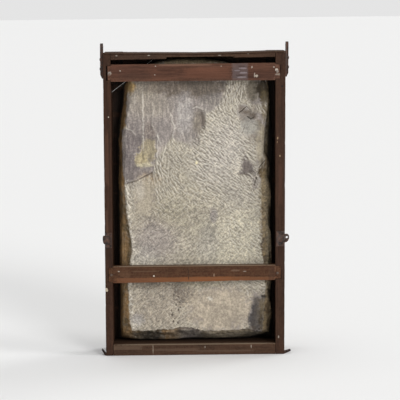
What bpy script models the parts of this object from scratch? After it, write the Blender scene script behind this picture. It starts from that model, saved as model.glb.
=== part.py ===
"""A marble slab carved with an arched niche, in the old wooden box that holds it.

Metres, +Z up. -Y is the rough back, with the two battens across it. +Y is the carved front.
The origin is in the middle of the box's underside, where the box stands on the floor.
"""
import math

import bmesh
import bpy
from mathutils import Matrix, Vector, noise

# Clearances
JOINT_GAP = 0.0003          # between pieces that touch
CUT_PAST = 0.004            # how far a cutter reaches past the face that it cuts

# The box
FRAME_WIDTH = 0.542         # over the stiles
FRAME_HEIGHT = 0.917        # floor to the ends of the cap
BOX_DEPTH = 0.100           # of the stiles and rails
STILE_LEFT = 0.0222
STILE_RIGHT_TOP = 0.0305    # the right stile is thinner at its foot
STILE_RIGHT_FOOT = 0.0270
BOTTOM_RAIL = 0.034
TOP_RAIL_LEFT = 0.0168      # the top rail is deeper at its left end
TOP_RAIL_RIGHT = 0.0126
CAP_THICKNESS = 0.0045
CAP_SAG = 0.0038            # of the cap and the rail's top, in the middle
RAIL_RELIEF = 0.0100        # left of the rail's depth where it is hollowed to clear the stone's crown
RAIL_RELIEF_LEFT = 0.083    # reach of the hollow to the left of the middle, and to the right
RAIL_RELIEF_RIGHT = 0.115
OUT_OF_SQUARE = 0.0079      # the box leans this far to the right for each metre of height
CHIP_HEIGHT = 0.1950        # of the chip out of the left stile's back corner
CHIP_RADIUS = 0.0060
CHIP_HALF = 0.0047          # half its length along the corner

# The front frame, which holds the stone in
FACE_THICKNESS = 0.016
FACE_STILE = 0.055
FACE_SILL = 0.058
FACE_CHAMFER = 0.006
SIGHT_RADIUS = 0.310        # of the arched opening
SIGHT_DROP = 0.036          # from the frame's top to the crown of the opening

# The two battens across the back
BATTEN_THICKNESS = 0.024
BATTEN_HEIGHT = 0.0515
BATTEN_SHOULDER = 0.0042    # taken off the top and bottom of each tongue
UPPER_BATTEN_DROP = 0.0863  # from the top of the box to the upper batten's underside
LOWER_BATTEN_RISE = 0.2237  # from the floor to the lower batten's underside
# Name, height of the underside, its rise from left to right, reach of the tongues into the left and right
# stiles, and the slack left open at the end of the left notch
BATTENS = (
    ("batten_upper", FRAME_HEIGHT - UPPER_BATTEN_DROP, 0.0, 0.0088, 0.0135, 0.0038),
    ("batten_lower", LOWER_BATTEN_RISE, 0.0045, 0.0124, 0.0165, 0.0008),
)

# The stone
STONE_SIDE_GAP = 0.0055     # from the dressed front's side to the right stile, at the top
STONE_CROWN_GAP = 0.0022    # from the crown to the hollow under the top rail
STONE_ARCH_RADIUS = 0.330
STONE_BACK_GAP = 0.0020     # from the battens to the rough back
STONE_FRONT_GAP = 0.0004    # from the front frame to the dressed margin
WAIST = 0.030               # depth, from the back, where the rough outline is widest
DRESSED_EDGE = 0.016        # depth, from the waist, over which the sides become straight
BOTTOM_BREAK = 0.031        # height of the broken lower edge
TOP_BREAK = 0.016
CROWN_SHOULDER = 0.035      # from the stone's side in to where the broken crown has fallen by its full drop

# The carving on the front
PANEL_INSET = 0.027         # plain margin round the sunk panel
PANEL_DEPTH = 0.016
NICHE_DEPTH = 0.043
SPRING_DROP = 0.310         # from the stone's crown down to where the niche's arch springs
NICHE_FLOOR = 0.142
SHELL_FLUTES = 9
FLUTE_DEPTH = 0.0065
COLUMN_MARGIN = 0.048       # from the panel's side to a column's middle
COLUMN_JAMB = 0.042         # from a column's middle to the recess
COLUMN_RADIUS = 0.0145
CAPITAL_RADIUS = 0.0200
ARCHIVOLT_WIDTH = 0.038
ARCHIVOLT_INSET = 0.008     # from the recess to the moulded band round its arch
ARCHIVOLT_STILT = 0.004     # the band stands this far above the spring of the arch
CORNICE_GAP = 0.015         # from the top of the moulded band to the cornice
CORNICE_HEIGHT = 0.026
ROSETTE_RADIUS = 0.025
ROSETTE_HEIGHT = 0.009
ROSETTE_DROP = 0.014        # from the cornice to a rosette's edge
ROSETTE_OUT = 0.006         # from above a column's middle, out to a rosette's
ROSETTE_PETALS = 8
PALMETTE_RADIUS = 0.056
PALMETTE_HEIGHT = 0.010
PALMETTE_RISE = 0.003       # from the cornice's top to the middle of the fan
PALMETTE_LOBES = 7

# Iron
HANGER_THICKNESS = 0.0085
HANGER_WIDTH = 0.026
HANGER_LENGTH = 0.105
HANGER_ABOVE = 0.0275       # how far it stands above the cap
HANGER_INSET = 0.009        # from the back of the box
HANGER_EYE = 0.011
HANGER_TAPER = 0.0045
NAIL_HEAD = 0.0090
NAIL_SHANK = 0.0036
NAIL_LENGTH = 0.0125
NAIL_DROPS = (0.0480, 0.0760)   # of the two nails in each strap, from its top
PLATE_THICKNESS = 0.0022
PLATE_HEIGHT = 0.047
PLATE_BOTTOM = 0.3315
PLATE_HOLE = 0.0064
LOBE_LEFT = 0.0064          # how far each plate's lobe stands out from the stile
LOBE_RIGHT = 0.0129
LOBE_HEIGHT = 0.027
LOBE_LIFT = 0.0113          # from a plate's lower end to its lobe's
PLATE_INSET_IN = 0.0012     # from the stile's inner and outer edges
PLATE_INSET_OUT = 0.0008
PLATE_SCREW_INSET = 0.0061  # from a plate's ends to the middle of its screws
PLATE_HOLE_EDGE = 0.0042    # metal left outside the hole
SCREW_HEAD = 0.0085
SCREW_HEAD_THICK = 0.0014   # of a flat-headed screw
SCREW_SHANK = 0.0036
SCREW_LENGTH = 0.020
SCREW_BITE = 0.012          # how far a batten's screws go into the stile behind it
TAB_INSET = 0.006           # from the back of the box
TAB_LIFT = 0.0004           # clear of the floor
TAB_WIDTH = 0.018
TAB_LEFT = 0.0046           # thickness of the two tabs
TAB_RIGHT = 0.0060
TAB_LEFT_TURN = 62          # degrees that each tab's end is bent up
TAB_RIGHT_TURN = 23
TAB_LEFT_END = 0.0150       # length past the bend
TAB_RIGHT_END = 0.0185
TAB_BEND = 0.0062           # radius of the bend, over the thickness of either tab
WIRE = 0.0015
WIRE_DROP = 0.1132          # from the top of the rail to the wire's end on the left stile
WIRE_REACH = 0.1245         # from the left stile to its end under the top rail
WIRE_BEHIND = 0.0045        # from the battens, in towards the stone
WIRE_SAG = 0.0012

# Worked out from the values above
HALF = FRAME_WIDTH / 2
BACK = -(BOX_DEPTH + FACE_THICKNESS) / 2
FACE_BACK = BACK + BOX_DEPTH
FRONT = FACE_BACK + FACE_THICKNESS
INNER_LEFT = -HALF + STILE_LEFT
RAIL_TOP = FRAME_HEIGHT - CAP_THICKNESS - JOINT_GAP
RELIEF_TOP = RAIL_TOP - RAIL_RELIEF
STONE_BASE = BOTTOM_RAIL + JOINT_GAP
STONE_CROWN = RELIEF_TOP - STONE_CROWN_GAP
STONE_HEIGHT = STONE_CROWN - STONE_BASE
STONE_HALF = HALF - STILE_RIGHT_TOP - STONE_SIDE_GAP
STONE_BACK = BACK + BATTEN_THICKNESS + STONE_BACK_GAP
STONE_FRONT = FACE_BACK - STONE_FRONT_GAP
FIELD = STONE_FRONT - PANEL_DEPTH
PANEL_HALF = STONE_HALF - PANEL_INSET
COLUMN_X = PANEL_HALF - COLUMN_MARGIN
NICHE_HALF = COLUMN_X - COLUMN_JAMB
NICHE_SPRING = STONE_CROWN - SPRING_DROP
ARCHIVOLT_INNER = NICHE_HALF + ARCHIVOLT_INSET
ARCHIVOLT_OUTER = ARCHIVOLT_INNER + ARCHIVOLT_WIDTH
CORNICE_BOTTOM = NICHE_SPRING + ARCHIVOLT_STILT + ARCHIVOLT_OUTER + CORNICE_GAP
SIGHT_HALF = HALF - FACE_STILE

BURIED = 0.006              # how far carved pieces reach into the slab they are part of


def smooth_step(low, high, value):
    share = min(1.0, max(0.0, (value - low) / (high - low)))
    return share * share * (3 - 2 * share)


def bump(value, middle, spread):
    return math.exp(-(((value - middle) / spread) ** 2))


def material(name, colour, roughness, metallic=0.0):
    made = bpy.data.materials.new(name)
    made.use_nodes = True
    shader = made.node_tree.nodes["Principled BSDF"]
    shader.inputs["Base Color"].default_value = (*colour, 1.0)
    shader.inputs["Roughness"].default_value = roughness
    shader.inputs["Metallic"].default_value = metallic
    return made


def add_object(name, bm, finish, location=(0, 0, 0)):
    bmesh.ops.recalc_face_normals(bm, faces=bm.faces[:])
    mesh = bpy.data.meshes.new(name)
    bm.to_mesh(mesh)
    bm.free()
    obj = bpy.data.objects.new(name, mesh)
    obj.location = location
    obj.data.materials.append(finish)
    bpy.context.collection.objects.link(obj)
    return obj


def helper(obj):
    """Keeps a cutter, or a shape that a union takes in, out of the model."""
    obj.hide_render = True
    obj.display_type = "WIRE"
    return obj


def boolean(target, operand, operation):
    step = target.modifiers.new(operand.name, "BOOLEAN")
    step.operation = operation
    step.solver = "EXACT"
    step.object = helper(operand)
    return target


def cut(target, cutter):
    return boolean(target, cutter, "DIFFERENCE")


def join(target, piece):
    return boolean(target, piece, "UNION")


def box(name, low, high, finish):
    """A block between two corners, with its object placed at its middle."""
    low, high = Vector(low), Vector(high)
    bm = bmesh.new()
    bmesh.ops.create_cube(bm, size=1.0)
    bmesh.ops.scale(bm, vec=high - low, verts=bm.verts)
    return add_object(name, bm, finish, (low + high) / 2)


def prism(name, outline, vector, finish, location=(0, 0, 0)):
    """A flat outline pushed along a vector into a solid."""
    bm = bmesh.new()
    face = bm.faces.new([bm.verts.new(point) for point in outline])
    pushed = bmesh.ops.extrude_face_region(bm, geom=[face])
    moved = [item for item in pushed["geom"] if isinstance(item, bmesh.types.BMVert)]
    bmesh.ops.translate(bm, verts=moved, vec=vector)
    return add_object(name, bm, finish, location)


def turned(name, profile, axis, finish, location, steps=10):
    """A profile of (radius, height) pairs, spun about an axis through the location and closed at its ends."""
    bm = bmesh.new()
    verts = [bm.verts.new((radius, 0, height)) for radius, height in profile]
    edges = [bm.edges.new(pair) for pair in zip(verts, verts[1:])]
    bmesh.ops.spin(bm, geom=verts + edges, cent=(0, 0, 0), axis=(0, 0, 1), angle=math.tau,
                   steps=steps, use_merge=True)
    bmesh.ops.remove_doubles(bm, verts=bm.verts, dist=1e-6)
    open_rings = [edge for edge in bm.edges if edge.is_boundary]
    if open_rings:
        bmesh.ops.holes_fill(bm, edges=open_rings, sides=0)
    turn = Vector((0, 0, 1)).rotation_difference(Vector(axis)).to_matrix()
    bmesh.ops.rotate(bm, verts=bm.verts, cent=(0, 0, 0), matrix=turn)
    return add_object(name, bm, finish, location)


def drill(targets, point, direction, diameter, depth, finish):
    """A round hole from the point along the direction, cut in each target. It starts a little outside."""
    radius = diameter / 2
    for target in targets:
        name = f"drill_{target.name}_{len(target.modifiers)}"
        profile = [(0, -CUT_PAST), (radius, -CUT_PAST), (radius, depth), (0, depth)]
        cut(target, turned(name, profile, direction, finish, point))


def fastener(name, point, inward, head, shank, length, through, finish):
    """A domed head on a shank, with a hole drilled for it through each piece that it passes."""
    rise = head * 0.24
    bore = shank + 2 * JOINT_GAP
    for target in through:
        drill([target], point, inward, bore, length + JOINT_GAP, finish)
    profile = [
        (0, length), (shank / 2, length), (shank / 2, -JOINT_GAP), (head / 2, -JOINT_GAP),
        (head / 2, -JOINT_GAP - rise * 0.35), (head * 0.36, -JOINT_GAP - rise * 0.8), (0, -JOINT_GAP - rise),
    ]
    return turned(name, profile, inward, finish, point)


# The stone's outline. s runs from -1 at the left edge to 1 at the right, and t from 0 at the foot to 1 at
# the crown.

# The broken outline behind: (height, depth broken off the dressed side) up each side, and (x, height above
# the base) along the foot.
BROKEN_LEFT = (
    (0.051, 0.0111), (0.067, 0.0092), (0.154, 0.0108), (0.269, 0.0088), (0.359, 0.0096), (0.470, 0.0108),
    (0.570, 0.0075), (0.644, 0.0124), (0.698, 0.0075), (0.716, 0.0136), (0.750, 0.0165), (0.803, 0.0253),
    (0.845, 0.0305),
)
BROKEN_RIGHT = (
    (0.058, 0.0113), (0.072, 0.0073), (0.088, -0.0003), (0.116, -0.0008), (0.149, 0.0076), (0.171, 0.0098),
    (0.203, 0.0014), (0.277, 0.0002), (0.354, 0.0020), (0.397, 0.0104), (0.440, 0.0087), (0.472, 0.0022),
    (0.504, 0.0045), (0.544, 0.0154), (0.587, 0.0113), (0.618, 0.0242), (0.650, 0.0211), (0.693, 0.0200),
    (0.735, 0.0139), (0.777, 0.0087), (0.816, 0.0106), (0.850, 0.0130),
)
BROKEN_FOOT = (
    (-0.223, 0.0165), (-0.202, 0.0075), (-0.172, 0.0025), (-0.064, 0.0015), (-0.021, 0.0060), (0.114, 0.0055),
    (0.157, 0.0100), (0.200, 0.0185), (0.2245, 0.0235),
)
# Width of the sloping sides behind, as (height, width)
MARGIN_LEFT = (
    (0.050, 0.027), (0.090, 0.022), (0.150, 0.019), (0.250, 0.026), (0.340, 0.031), (0.430, 0.022),
    (0.560, 0.017), (0.690, 0.016), (0.850, 0.021),
)
MARGIN_RIGHT = (
    (0.050, 0.016), (0.150, 0.013), (0.300, 0.009), (0.600, 0.011), (0.720, 0.012), (0.850, 0.016),
)


def along(table, place):
    """The value that a table of pairs gives at a place, with smooth bends between the pairs."""
    if place <= table[0][0]:
        return table[0][1]
    for (low, first), (high, second) in zip(table, table[1:]):
        if place <= high:
            return first + (second - first) * smooth_step(low, high, place)
    return table[-1][1]


def arch_height(x, radius, crown):
    """Height of a round arch at x."""
    offset = min(abs(x), radius * 0.98)
    return crown - radius + math.sqrt(radius ** 2 - offset ** 2)


def broken_crown(x):
    """Height of the broken upper edge, which falls away faster on the left."""
    offset = (x + 0.015) / (STONE_HALF - CROWN_SHOULDER)
    if offset < 0:
        return STONE_CROWN - 0.046 * offset ** 2 - 0.047 * offset ** 6
    return STONE_CROWN - 0.049 * offset ** 1.9


def draw_in(z):
    """How far the dressed sides draw in under the arch."""
    return 0.018 * smooth_step(STONE_CROWN - 0.215, STONE_CROWN - 0.055, z)


def edge(z, rough, broken):
    """Distance of a side from the middle at a height."""
    return STONE_HALF - (1 - rough) * draw_in(z) - rough * along(broken, z)


def foot(x, rough):
    """Height of the outline's lower edge: broken behind, and flat in front but for its corners."""
    broken = along(BROKEN_FOOT, x)
    return STONE_BASE + rough * broken + (1 - rough) * max(0.0, broken - 0.0100)


def stone_place(s, t, rough, inner):
    """(x, z) of a place on the slab. rough is 1 on the broken back outline and 0 on the dressed front.

    inner is 1 where the sloping margins are left out, as on the back's own face.
    """
    guess = STONE_BASE + t * STONE_HEIGHT * 0.94
    left = inner * along(MARGIN_LEFT, guess) - edge(guess, rough, BROKEN_LEFT)
    right = edge(guess, rough, BROKEN_RIGHT) - inner * along(MARGIN_RIGHT, guess)
    x = left + (s + 1) / 2 * (right - left)
    low = foot(x, rough) + inner * BOTTOM_BREAK * (1 + 0.10 * math.sin(x * 41))
    dressed = arch_height(x, STONE_ARCH_RADIUS, STONE_CROWN)
    high = dressed + rough * (broken_crown(x) - dressed) - inner * TOP_BREAK
    return x, low + t * (high - low)


# Hollows in the rough back, as (x, z, half width, half height, depth).
SCOOPS = (
    (-0.156, 0.612, 0.034, 0.036, 0.0050),
    (-0.150, 0.503, 0.030, 0.046, 0.0045),
    (0.148, 0.578, 0.021, 0.042, 0.0035),
    (0.175, 0.128, 0.022, 0.066, 0.0060),
    (0.140, 0.700, 0.030, 0.038, 0.0025),
)
OLD_FACE_RISE = 0.0022      # the untouched quarry face stands proud of the chiselled part


def old_face(x, z):
    """1 on the untouched quarry face at the upper left, 0 on the chiselled rest."""
    border = 0.655 + 0.62 * (x + 0.09) + 0.012 * math.sin(x * 75)
    upper = smooth_step(-0.012, 0.012, z - border) * (1 - smooth_step(0.070, 0.090, x))
    lower_patch = bump(x, -0.175, 0.045) * bump(z, 0.548, 0.030)
    return min(1.0, upper + 1.3 * lower_patch)


def rough_back(x, z):
    """How deep the rough back lies at a place. STONE_BACK is the highest that it may stand."""
    depth = OLD_FACE_RISE * (1 - old_face(x, z))
    for sx, sz, half_width, half_height, hollow in SCOOPS:
        away = ((x - sx) / half_width) ** 2 + ((z - sz) / half_height) ** 2
        depth += hollow * max(0.0, 1 - away) ** 0.7
    depth += 0.0012 * (1 + noise.noise(Vector((x * 14, 0.0, z * 14))))
    return STONE_BACK + depth


STONE_COLUMNS = 24
STONE_ROWS = 42


def stone_slab(finish):
    """The slab before it is carved: a rough back, broken edges and a flat dressed front."""
    bm = bmesh.new()
    across = bm.verts.layers.float.new("across")
    up = bm.verts.layers.float.new("up")
    bmesh.ops.create_grid(bm, x_segments=STONE_COLUMNS, y_segments=STONE_ROWS, size=1.0)
    for vert in bm.verts:
        vert[across] = vert.co.x
        vert[up] = (vert.co.y + 1) / 2
        x, z = stone_place(vert[across], vert[up], 1.0, 1.0)
        vert.co = (x, rough_back(x, z), z)
    waist = STONE_BACK + WAIST
    stations = ((1.0, 0.35, STONE_BACK + 0.35 * WAIST), (1.0, 0.0, waist), (0.0, 0.0, waist + DRESSED_EDGE),
                (0.0, 0.0, STONE_FRONT))
    for rough, inner, y in stations:
        rim = [edge for edge in bm.edges if edge.is_boundary]
        pushed = bmesh.ops.extrude_edge_only(bm, edges=rim)["geom"]
        for vert in (item for item in pushed if isinstance(item, bmesh.types.BMVert)):
            x, z = stone_place(vert[across], vert[up], rough, inner)
            vert.co = (x, y, z)
    bmesh.ops.holes_fill(bm, edges=[edge for edge in bm.edges if edge.is_boundary], sides=0)
    return add_object("niche_stone", bm, finish)


# The carving

def arched_outline(half, low, radius, crown, y, steps=20):
    """Points round an upright panel with a round head."""
    points = [(-half, y, low), (half, y, low)]
    for step in range(steps + 1):
        x = half - 2 * half * step / steps
        points.append((x, y, arch_height(x, radius, crown)))
    return points


def sunk_panel(finish):
    crown = STONE_CROWN - PANEL_INSET
    outline = arched_outline(PANEL_HALF, STONE_BASE + PANEL_INSET, STONE_ARCH_RADIUS, crown, FIELD)
    return prism("panel_cutter", outline, (0, PANEL_DEPTH + CUT_PAST, 0), finish)


def flute(angle):
    """0 on a rib of the shell and 1 in the middle of a flute, for an angle across the arch."""
    return abs(math.sin(angle * SHELL_FLUTES))


def niche_cutter(finish):
    """The recess: an elliptical plan below, and a half dome with radiating flutes above."""
    rings = 7
    steps = SHELL_FLUTES * 4
    bm = bmesh.new()
    arc = []
    for ring in range(rings + 1):
        lean = math.pi / 2 * ring / rings
        arc.append(bm.verts.new((NICHE_HALF * math.sin(lean), -NICHE_DEPTH * math.cos(lean), 0)))
    edges = [bm.edges.new(pair) for pair in zip(arc, arc[1:])]
    bmesh.ops.spin(bm, geom=arc + edges, cent=(0, 0, 0), axis=(0, -1, 0), angle=math.pi, steps=steps,
                   use_merge=False)
    bmesh.ops.remove_doubles(bm, verts=bm.verts, dist=1e-6)
    for vert in bm.verts:
        reach = math.hypot(vert.co.x, vert.co.z) / NICHE_HALF
        if reach > 1e-4:
            angle = math.atan2(vert.co.z, vert.co.x)
            swell = flute(angle) * smooth_step(0.0, 0.85, reach)
            level = max(1e-9, 1 - reach ** 2)
            vert.co.y -= FLUTE_DEPTH * swell * math.sqrt(level)
            widen = 1 + 0.045 * swell * reach ** 4
            vert.co.x *= widen
            vert.co.z *= widen
    lowest = [edge for edge in bm.edges if edge.is_boundary and max(abs(v.co.z) for v in edge.verts) < 1e-6]
    dropped = bmesh.ops.extrude_edge_only(bm, edges=lowest)["geom"]
    moved = [item for item in dropped if isinstance(item, bmesh.types.BMVert)]
    bmesh.ops.translate(bm, verts=moved, vec=(0, 0, NICHE_FLOOR - NICHE_SPRING))
    rim = [edge for edge in bm.edges if edge.is_boundary]
    pushed = bmesh.ops.extrude_edge_only(bm, edges=rim)["geom"]
    for vert in (item for item in pushed if isinstance(item, bmesh.types.BMVert)):
        vert.co.y = PANEL_DEPTH + CUT_PAST
    bmesh.ops.remove_doubles(bm, verts=bm.verts, dist=1e-6)
    bmesh.ops.holes_fill(bm, edges=[edge for edge in bm.edges if edge.is_boundary], sides=0)
    return add_object("niche_cutter", bm, finish, (0, FIELD, NICHE_SPRING))


def moulding(name, profile, x_left, x_right, finish):
    """A profile of (stand out, height) pairs, run straight across the panel."""
    outline = [(x_left, FIELD - BURIED, profile[0][1])]
    outline += [(x_left, FIELD + out, height) for out, height in profile]
    outline += [(x_left, FIELD - BURIED, profile[-1][1])]
    return prism(name, outline, (x_right - x_left, 0, 0), finish)


def plinth(finish):
    """The moulded step under the niche."""
    low = STONE_BASE + PANEL_INSET + 0.004
    high = NICHE_FLOOR - 0.001
    tall = high - low
    profile = [
        (0.0140, low), (0.0140, low + 0.30 * tall), (0.0105, low + 0.36 * tall), (0.0090, low + 0.48 * tall),
        (0.0100, low + 0.60 * tall), (0.0130, low + 0.70 * tall), (0.0145, low + 0.76 * tall), (0.0145, high),
    ]
    half = PANEL_HALF - 0.006
    return moulding("plinth", profile, -half, half, finish)


def cornice(finish):
    low, tall = CORNICE_BOTTOM, CORNICE_HEIGHT
    profile = [
        (0.0045, low), (0.0050, low + 0.20 * tall), (0.0080, low + 0.34 * tall), (0.0115, low + 0.50 * tall),
        (0.0140, low + 0.66 * tall), (0.0140, low + tall),
    ]
    half = PANEL_HALF - 0.010
    return moulding("cornice", profile, -half, half, finish)


def column(name, x, finish):
    """A slim column cut half out of the slab, with a ringed base and a bell capital."""
    low = NICHE_FLOOR - 0.002
    high = NICHE_SPRING + 0.004
    radius, wide = COLUMN_RADIUS, CAPITAL_RADIUS
    profile = [
        (0, low), (wide, low), (wide, low + 0.010), (wide * 0.88, low + 0.013), (wide * 0.97, low + 0.019),
        (wide * 0.86, low + 0.026), (radius, low + 0.031), (radius * 0.90, high - 0.064),
        (radius * 1.12, high - 0.060), (radius * 1.12, high - 0.055), (radius * 0.92, high - 0.050),
        (radius * 1.02, high - 0.030), (wide * 0.98, high - 0.013), (wide, high - 0.010), (wide, high),
        (0, high),
    ]
    centre = (x, STONE_FRONT - 0.0010 - wide, 0)
    return turned(name, profile, (0, 0, 1), finish, centre, steps=14)


def archivolt(finish):
    """The moulded band round the arch, on small square imposts."""
    inner, outer, width = ARCHIVOLT_INNER, ARCHIVOLT_OUTER, ARCHIVOLT_WIDTH
    section = [
        (inner, -BURIED), (inner, 0.0070), (inner + 0.22 * width, 0.0085), (inner + 0.30 * width, 0.0060),
        (inner + 0.58 * width, 0.0075), (inner + 0.70 * width, 0.0120), (inner + 0.92 * width, 0.0120),
        (outer, 0.0095), (outer, -BURIED),
    ]
    bm = bmesh.new()
    verts = [bm.verts.new((radius, out, 0)) for radius, out in section]
    face = bm.faces.new(verts)
    bmesh.ops.spin(bm, geom=[face] + face.edges[:] + verts, cent=(0, 0, 0), axis=(0, -1, 0), angle=math.pi,
                   steps=26, use_merge=False)
    return add_object("archivolt", bm, finish, (0, FIELD, NICHE_SPRING + ARCHIVOLT_STILT))


def petals(name, radius, count, height, finish, location, start=0.0, sweep=math.tau):
    """A flower or a fan cut in low relief: lobes round a raised eye."""
    steps = count * 6
    bm = bmesh.new()
    reach = [(0.0, 0.72), (0.18, 0.80), (0.30, 0.34), (0.62, 0.92), (0.88, 0.72), (1.0, 0.10)]
    verts = [bm.verts.new((radius * share, height * rise, 0)) for share, rise in reach]
    verts.append(bm.verts.new((radius, -BURIED, 0)))
    edges = [bm.edges.new(pair) for pair in zip(verts, verts[1:])]
    bmesh.ops.spin(bm, geom=verts + edges, cent=(0, 0, 0), axis=(0, -1, 0), angle=sweep, steps=steps,
                   use_merge=sweep == math.tau)
    bmesh.ops.remove_doubles(bm, verts=bm.verts, dist=1e-6)
    for vert in bm.verts:
        away = math.hypot(vert.co.x, vert.co.z) / radius
        if away > 0.25:
            angle = math.atan2(vert.co.z, vert.co.x) - start
            lobe = abs(math.sin(angle * count * math.pi / sweep))
            pull = 1 - 0.26 * (1 - lobe) ** 1.4 * smooth_step(0.3, 1.0, away)
            vert.co.x *= pull
            vert.co.z *= pull
            if vert.co.y > 0:
                vert.co.y *= 0.35 + 0.65 * lobe ** 0.6
    bmesh.ops.holes_fill(bm, edges=[edge for edge in bm.edges if edge.is_boundary], sides=0)
    return add_object(name, bm, finish, location)


def niche_stone(finish):
    stone = stone_slab(finish)
    cut(stone, sunk_panel(finish))
    cut(stone, niche_cutter(finish))
    for side, name in ((-1, "column_left"), (1, "column_right")):
        join(stone, column(name, side * COLUMN_X, finish))
    join(stone, plinth(finish))
    join(stone, archivolt(finish))
    join(stone, cornice(finish))
    rosette_z = CORNICE_BOTTOM - ROSETTE_RADIUS - ROSETTE_DROP
    for side, name in ((-1, "rosette_left"), (1, "rosette_right")):
        join(stone, petals(name, ROSETTE_RADIUS, ROSETTE_PETALS, ROSETTE_HEIGHT, finish,
                           (side * (COLUMN_X + ROSETTE_OUT), FIELD, rosette_z)))
    palmette_z = CORNICE_BOTTOM + CORNICE_HEIGHT + PALMETTE_RISE
    join(stone, petals("palmette", PALMETTE_RADIUS, PALMETTE_LOBES, PALMETTE_HEIGHT, finish,
                       (0, FIELD, palmette_z), sweep=math.pi))
    return stone


# The wooden box

def inner_right(z):
    """x of the right stile's inner face at a height."""
    share = z / RAIL_TOP
    return HALF - STILE_RIGHT_FOOT - share * (STILE_RIGHT_TOP - STILE_RIGHT_FOOT)


def sag(x):
    """How far the cap and the rail's top have sunk at x, between the stiles."""
    reach = inner_right(RAIL_TOP) if x > 0 else -INNER_LEFT
    return CAP_SAG * max(0.0, 1 - (x / reach) ** 2)


def rail_under(x):
    share = (x - INNER_LEFT) / (inner_right(RAIL_TOP) - INNER_LEFT)
    return RAIL_TOP - TOP_RAIL_LEFT + share * (TOP_RAIL_LEFT - TOP_RAIL_RIGHT)


def upright_prism(name, outline, y_low, y_high, finish):
    """An outline of (x, z) pairs, made into a solid between two depths."""
    return prism(name, [(x, 0, z) for x, z in outline], (0, y_high - y_low, 0), finish, (0, y_low, 0))


def sagging(left, right, base, steps=8):
    """(x, z) pairs from left to right along a level that sags."""
    places = [left + (right - left) * step / steps for step in range(steps + 1)]
    return [(x, base - sag(x)) for x in places]


def notch(stile, low, high, x_end, x_open, finish):
    """Cuts the place where a batten's tongue lies in a stile."""
    near, far = sorted((x_end, x_open))
    cut(stile, box(f"notch_{stile.name}_{len(stile.modifiers)}", (near, BACK - CUT_PAST, low - JOINT_GAP),
                   (far, BACK + BATTEN_THICKNESS + JOINT_GAP, high + JOINT_GAP), finish))


def batten(name, bottom, taper, left_end, right_end, finish):
    """A bar across the back. Shouldered tongues at its ends lie in the stiles."""
    top = bottom + BATTEN_HEIGHT
    left, right_low, right_high = (INNER_LEFT + JOINT_GAP, inner_right(bottom) - JOINT_GAP,
                                   inner_right(top) - JOINT_GAP)
    step = BATTEN_SHOULDER
    outline = [
        (left_end, bottom + step), (left, bottom + step), (left, bottom), (right_low, bottom + taper),
        (right_low, bottom + taper + step), (right_end, bottom + taper + step), (right_end, top - step),
        (right_high, top - step), (right_high, top), (left, top), (left, top - step), (left_end, top - step),
    ]
    return upright_prism(name, outline, BACK, BACK + BATTEN_THICKNESS, finish)


def wooden_box(wood, iron):
    front = FACE_BACK - JOINT_GAP
    left = box("stile_left", (-HALF, BACK, 0), (INNER_LEFT, front, RAIL_TOP), wood)
    right = upright_prism("stile_right", [(inner_right(0), 0), (HALF, 0), (HALF, RAIL_TOP),
                                          (inner_right(RAIL_TOP), RAIL_TOP)], BACK, front, wood)
    rail_left = INNER_LEFT + JOINT_GAP
    upright_prism("bottom_rail", [(rail_left, 0), (inner_right(0) - JOINT_GAP, 0),
                                  (inner_right(BOTTOM_RAIL) - JOINT_GAP, BOTTOM_RAIL),
                                  (rail_left, BOTTOM_RAIL)], BACK, front, wood)
    rail_right = inner_right(RAIL_TOP) - JOINT_GAP
    under = [
        (rail_right, rail_under(rail_right)), (RAIL_RELIEF_RIGHT, rail_under(RAIL_RELIEF_RIGHT)),
        (RAIL_RELIEF_RIGHT, RELIEF_TOP), (-RAIL_RELIEF_LEFT, RELIEF_TOP),
        (-RAIL_RELIEF_LEFT, rail_under(-RAIL_RELIEF_LEFT)), (rail_left, rail_under(rail_left)),
    ]
    upright_prism("top_rail", sagging(rail_left, rail_right, RAIL_TOP) + under, BACK, front, wood)
    low, high = RAIL_TOP + JOINT_GAP, FRAME_HEIGHT
    cap = [(-HALF, high), *sagging(INNER_LEFT, rail_right, high), (HALF, high)]
    cap += [(HALF, low), *sagging(INNER_LEFT, rail_right, low)[::-1], (-HALF, low)]
    upright_prism("top_cap", cap, BACK, front, wood)

    chip = turned("chip_cutter", [(0, -CHIP_HALF), (CHIP_RADIUS, 0), (0, CHIP_HALF)], (0, 0, 1), wood,
                  (-HALF, BACK, CHIP_HEIGHT), steps=8)
    cut(left, chip)

    for name, bottom, taper, tongue_left, tongue_right, slack in BATTENS:
        left_end = INNER_LEFT - tongue_left
        right_end = inner_right(bottom) + tongue_right
        bar = batten(name, bottom, taper, left_end, right_end, wood)
        low = bottom + BATTEN_SHOULDER
        high = bottom + BATTEN_HEIGHT - BATTEN_SHOULDER
        notch(left, low, high, left_end - slack, INNER_LEFT + CUT_PAST, wood)
        notch(right, low + taper, high, right_end + JOINT_GAP, inner_right(high) - CUT_PAST, wood)
        screw_z = bottom + BATTEN_HEIGHT / 2
        for side, x, stile in (("left", INNER_LEFT - SCREW_HEAD * 0.45, left),
                               ("right", inner_right(bottom) + SCREW_HEAD * 0.60, right)):
            fastener(f"{name}_screw_{side}", (x, BACK, screw_z), (0, 1, 0), SCREW_HEAD, SCREW_SHANK,
                     BATTEN_THICKNESS + SCREW_BITE, (bar, stile), iron)
    return left, right


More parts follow.
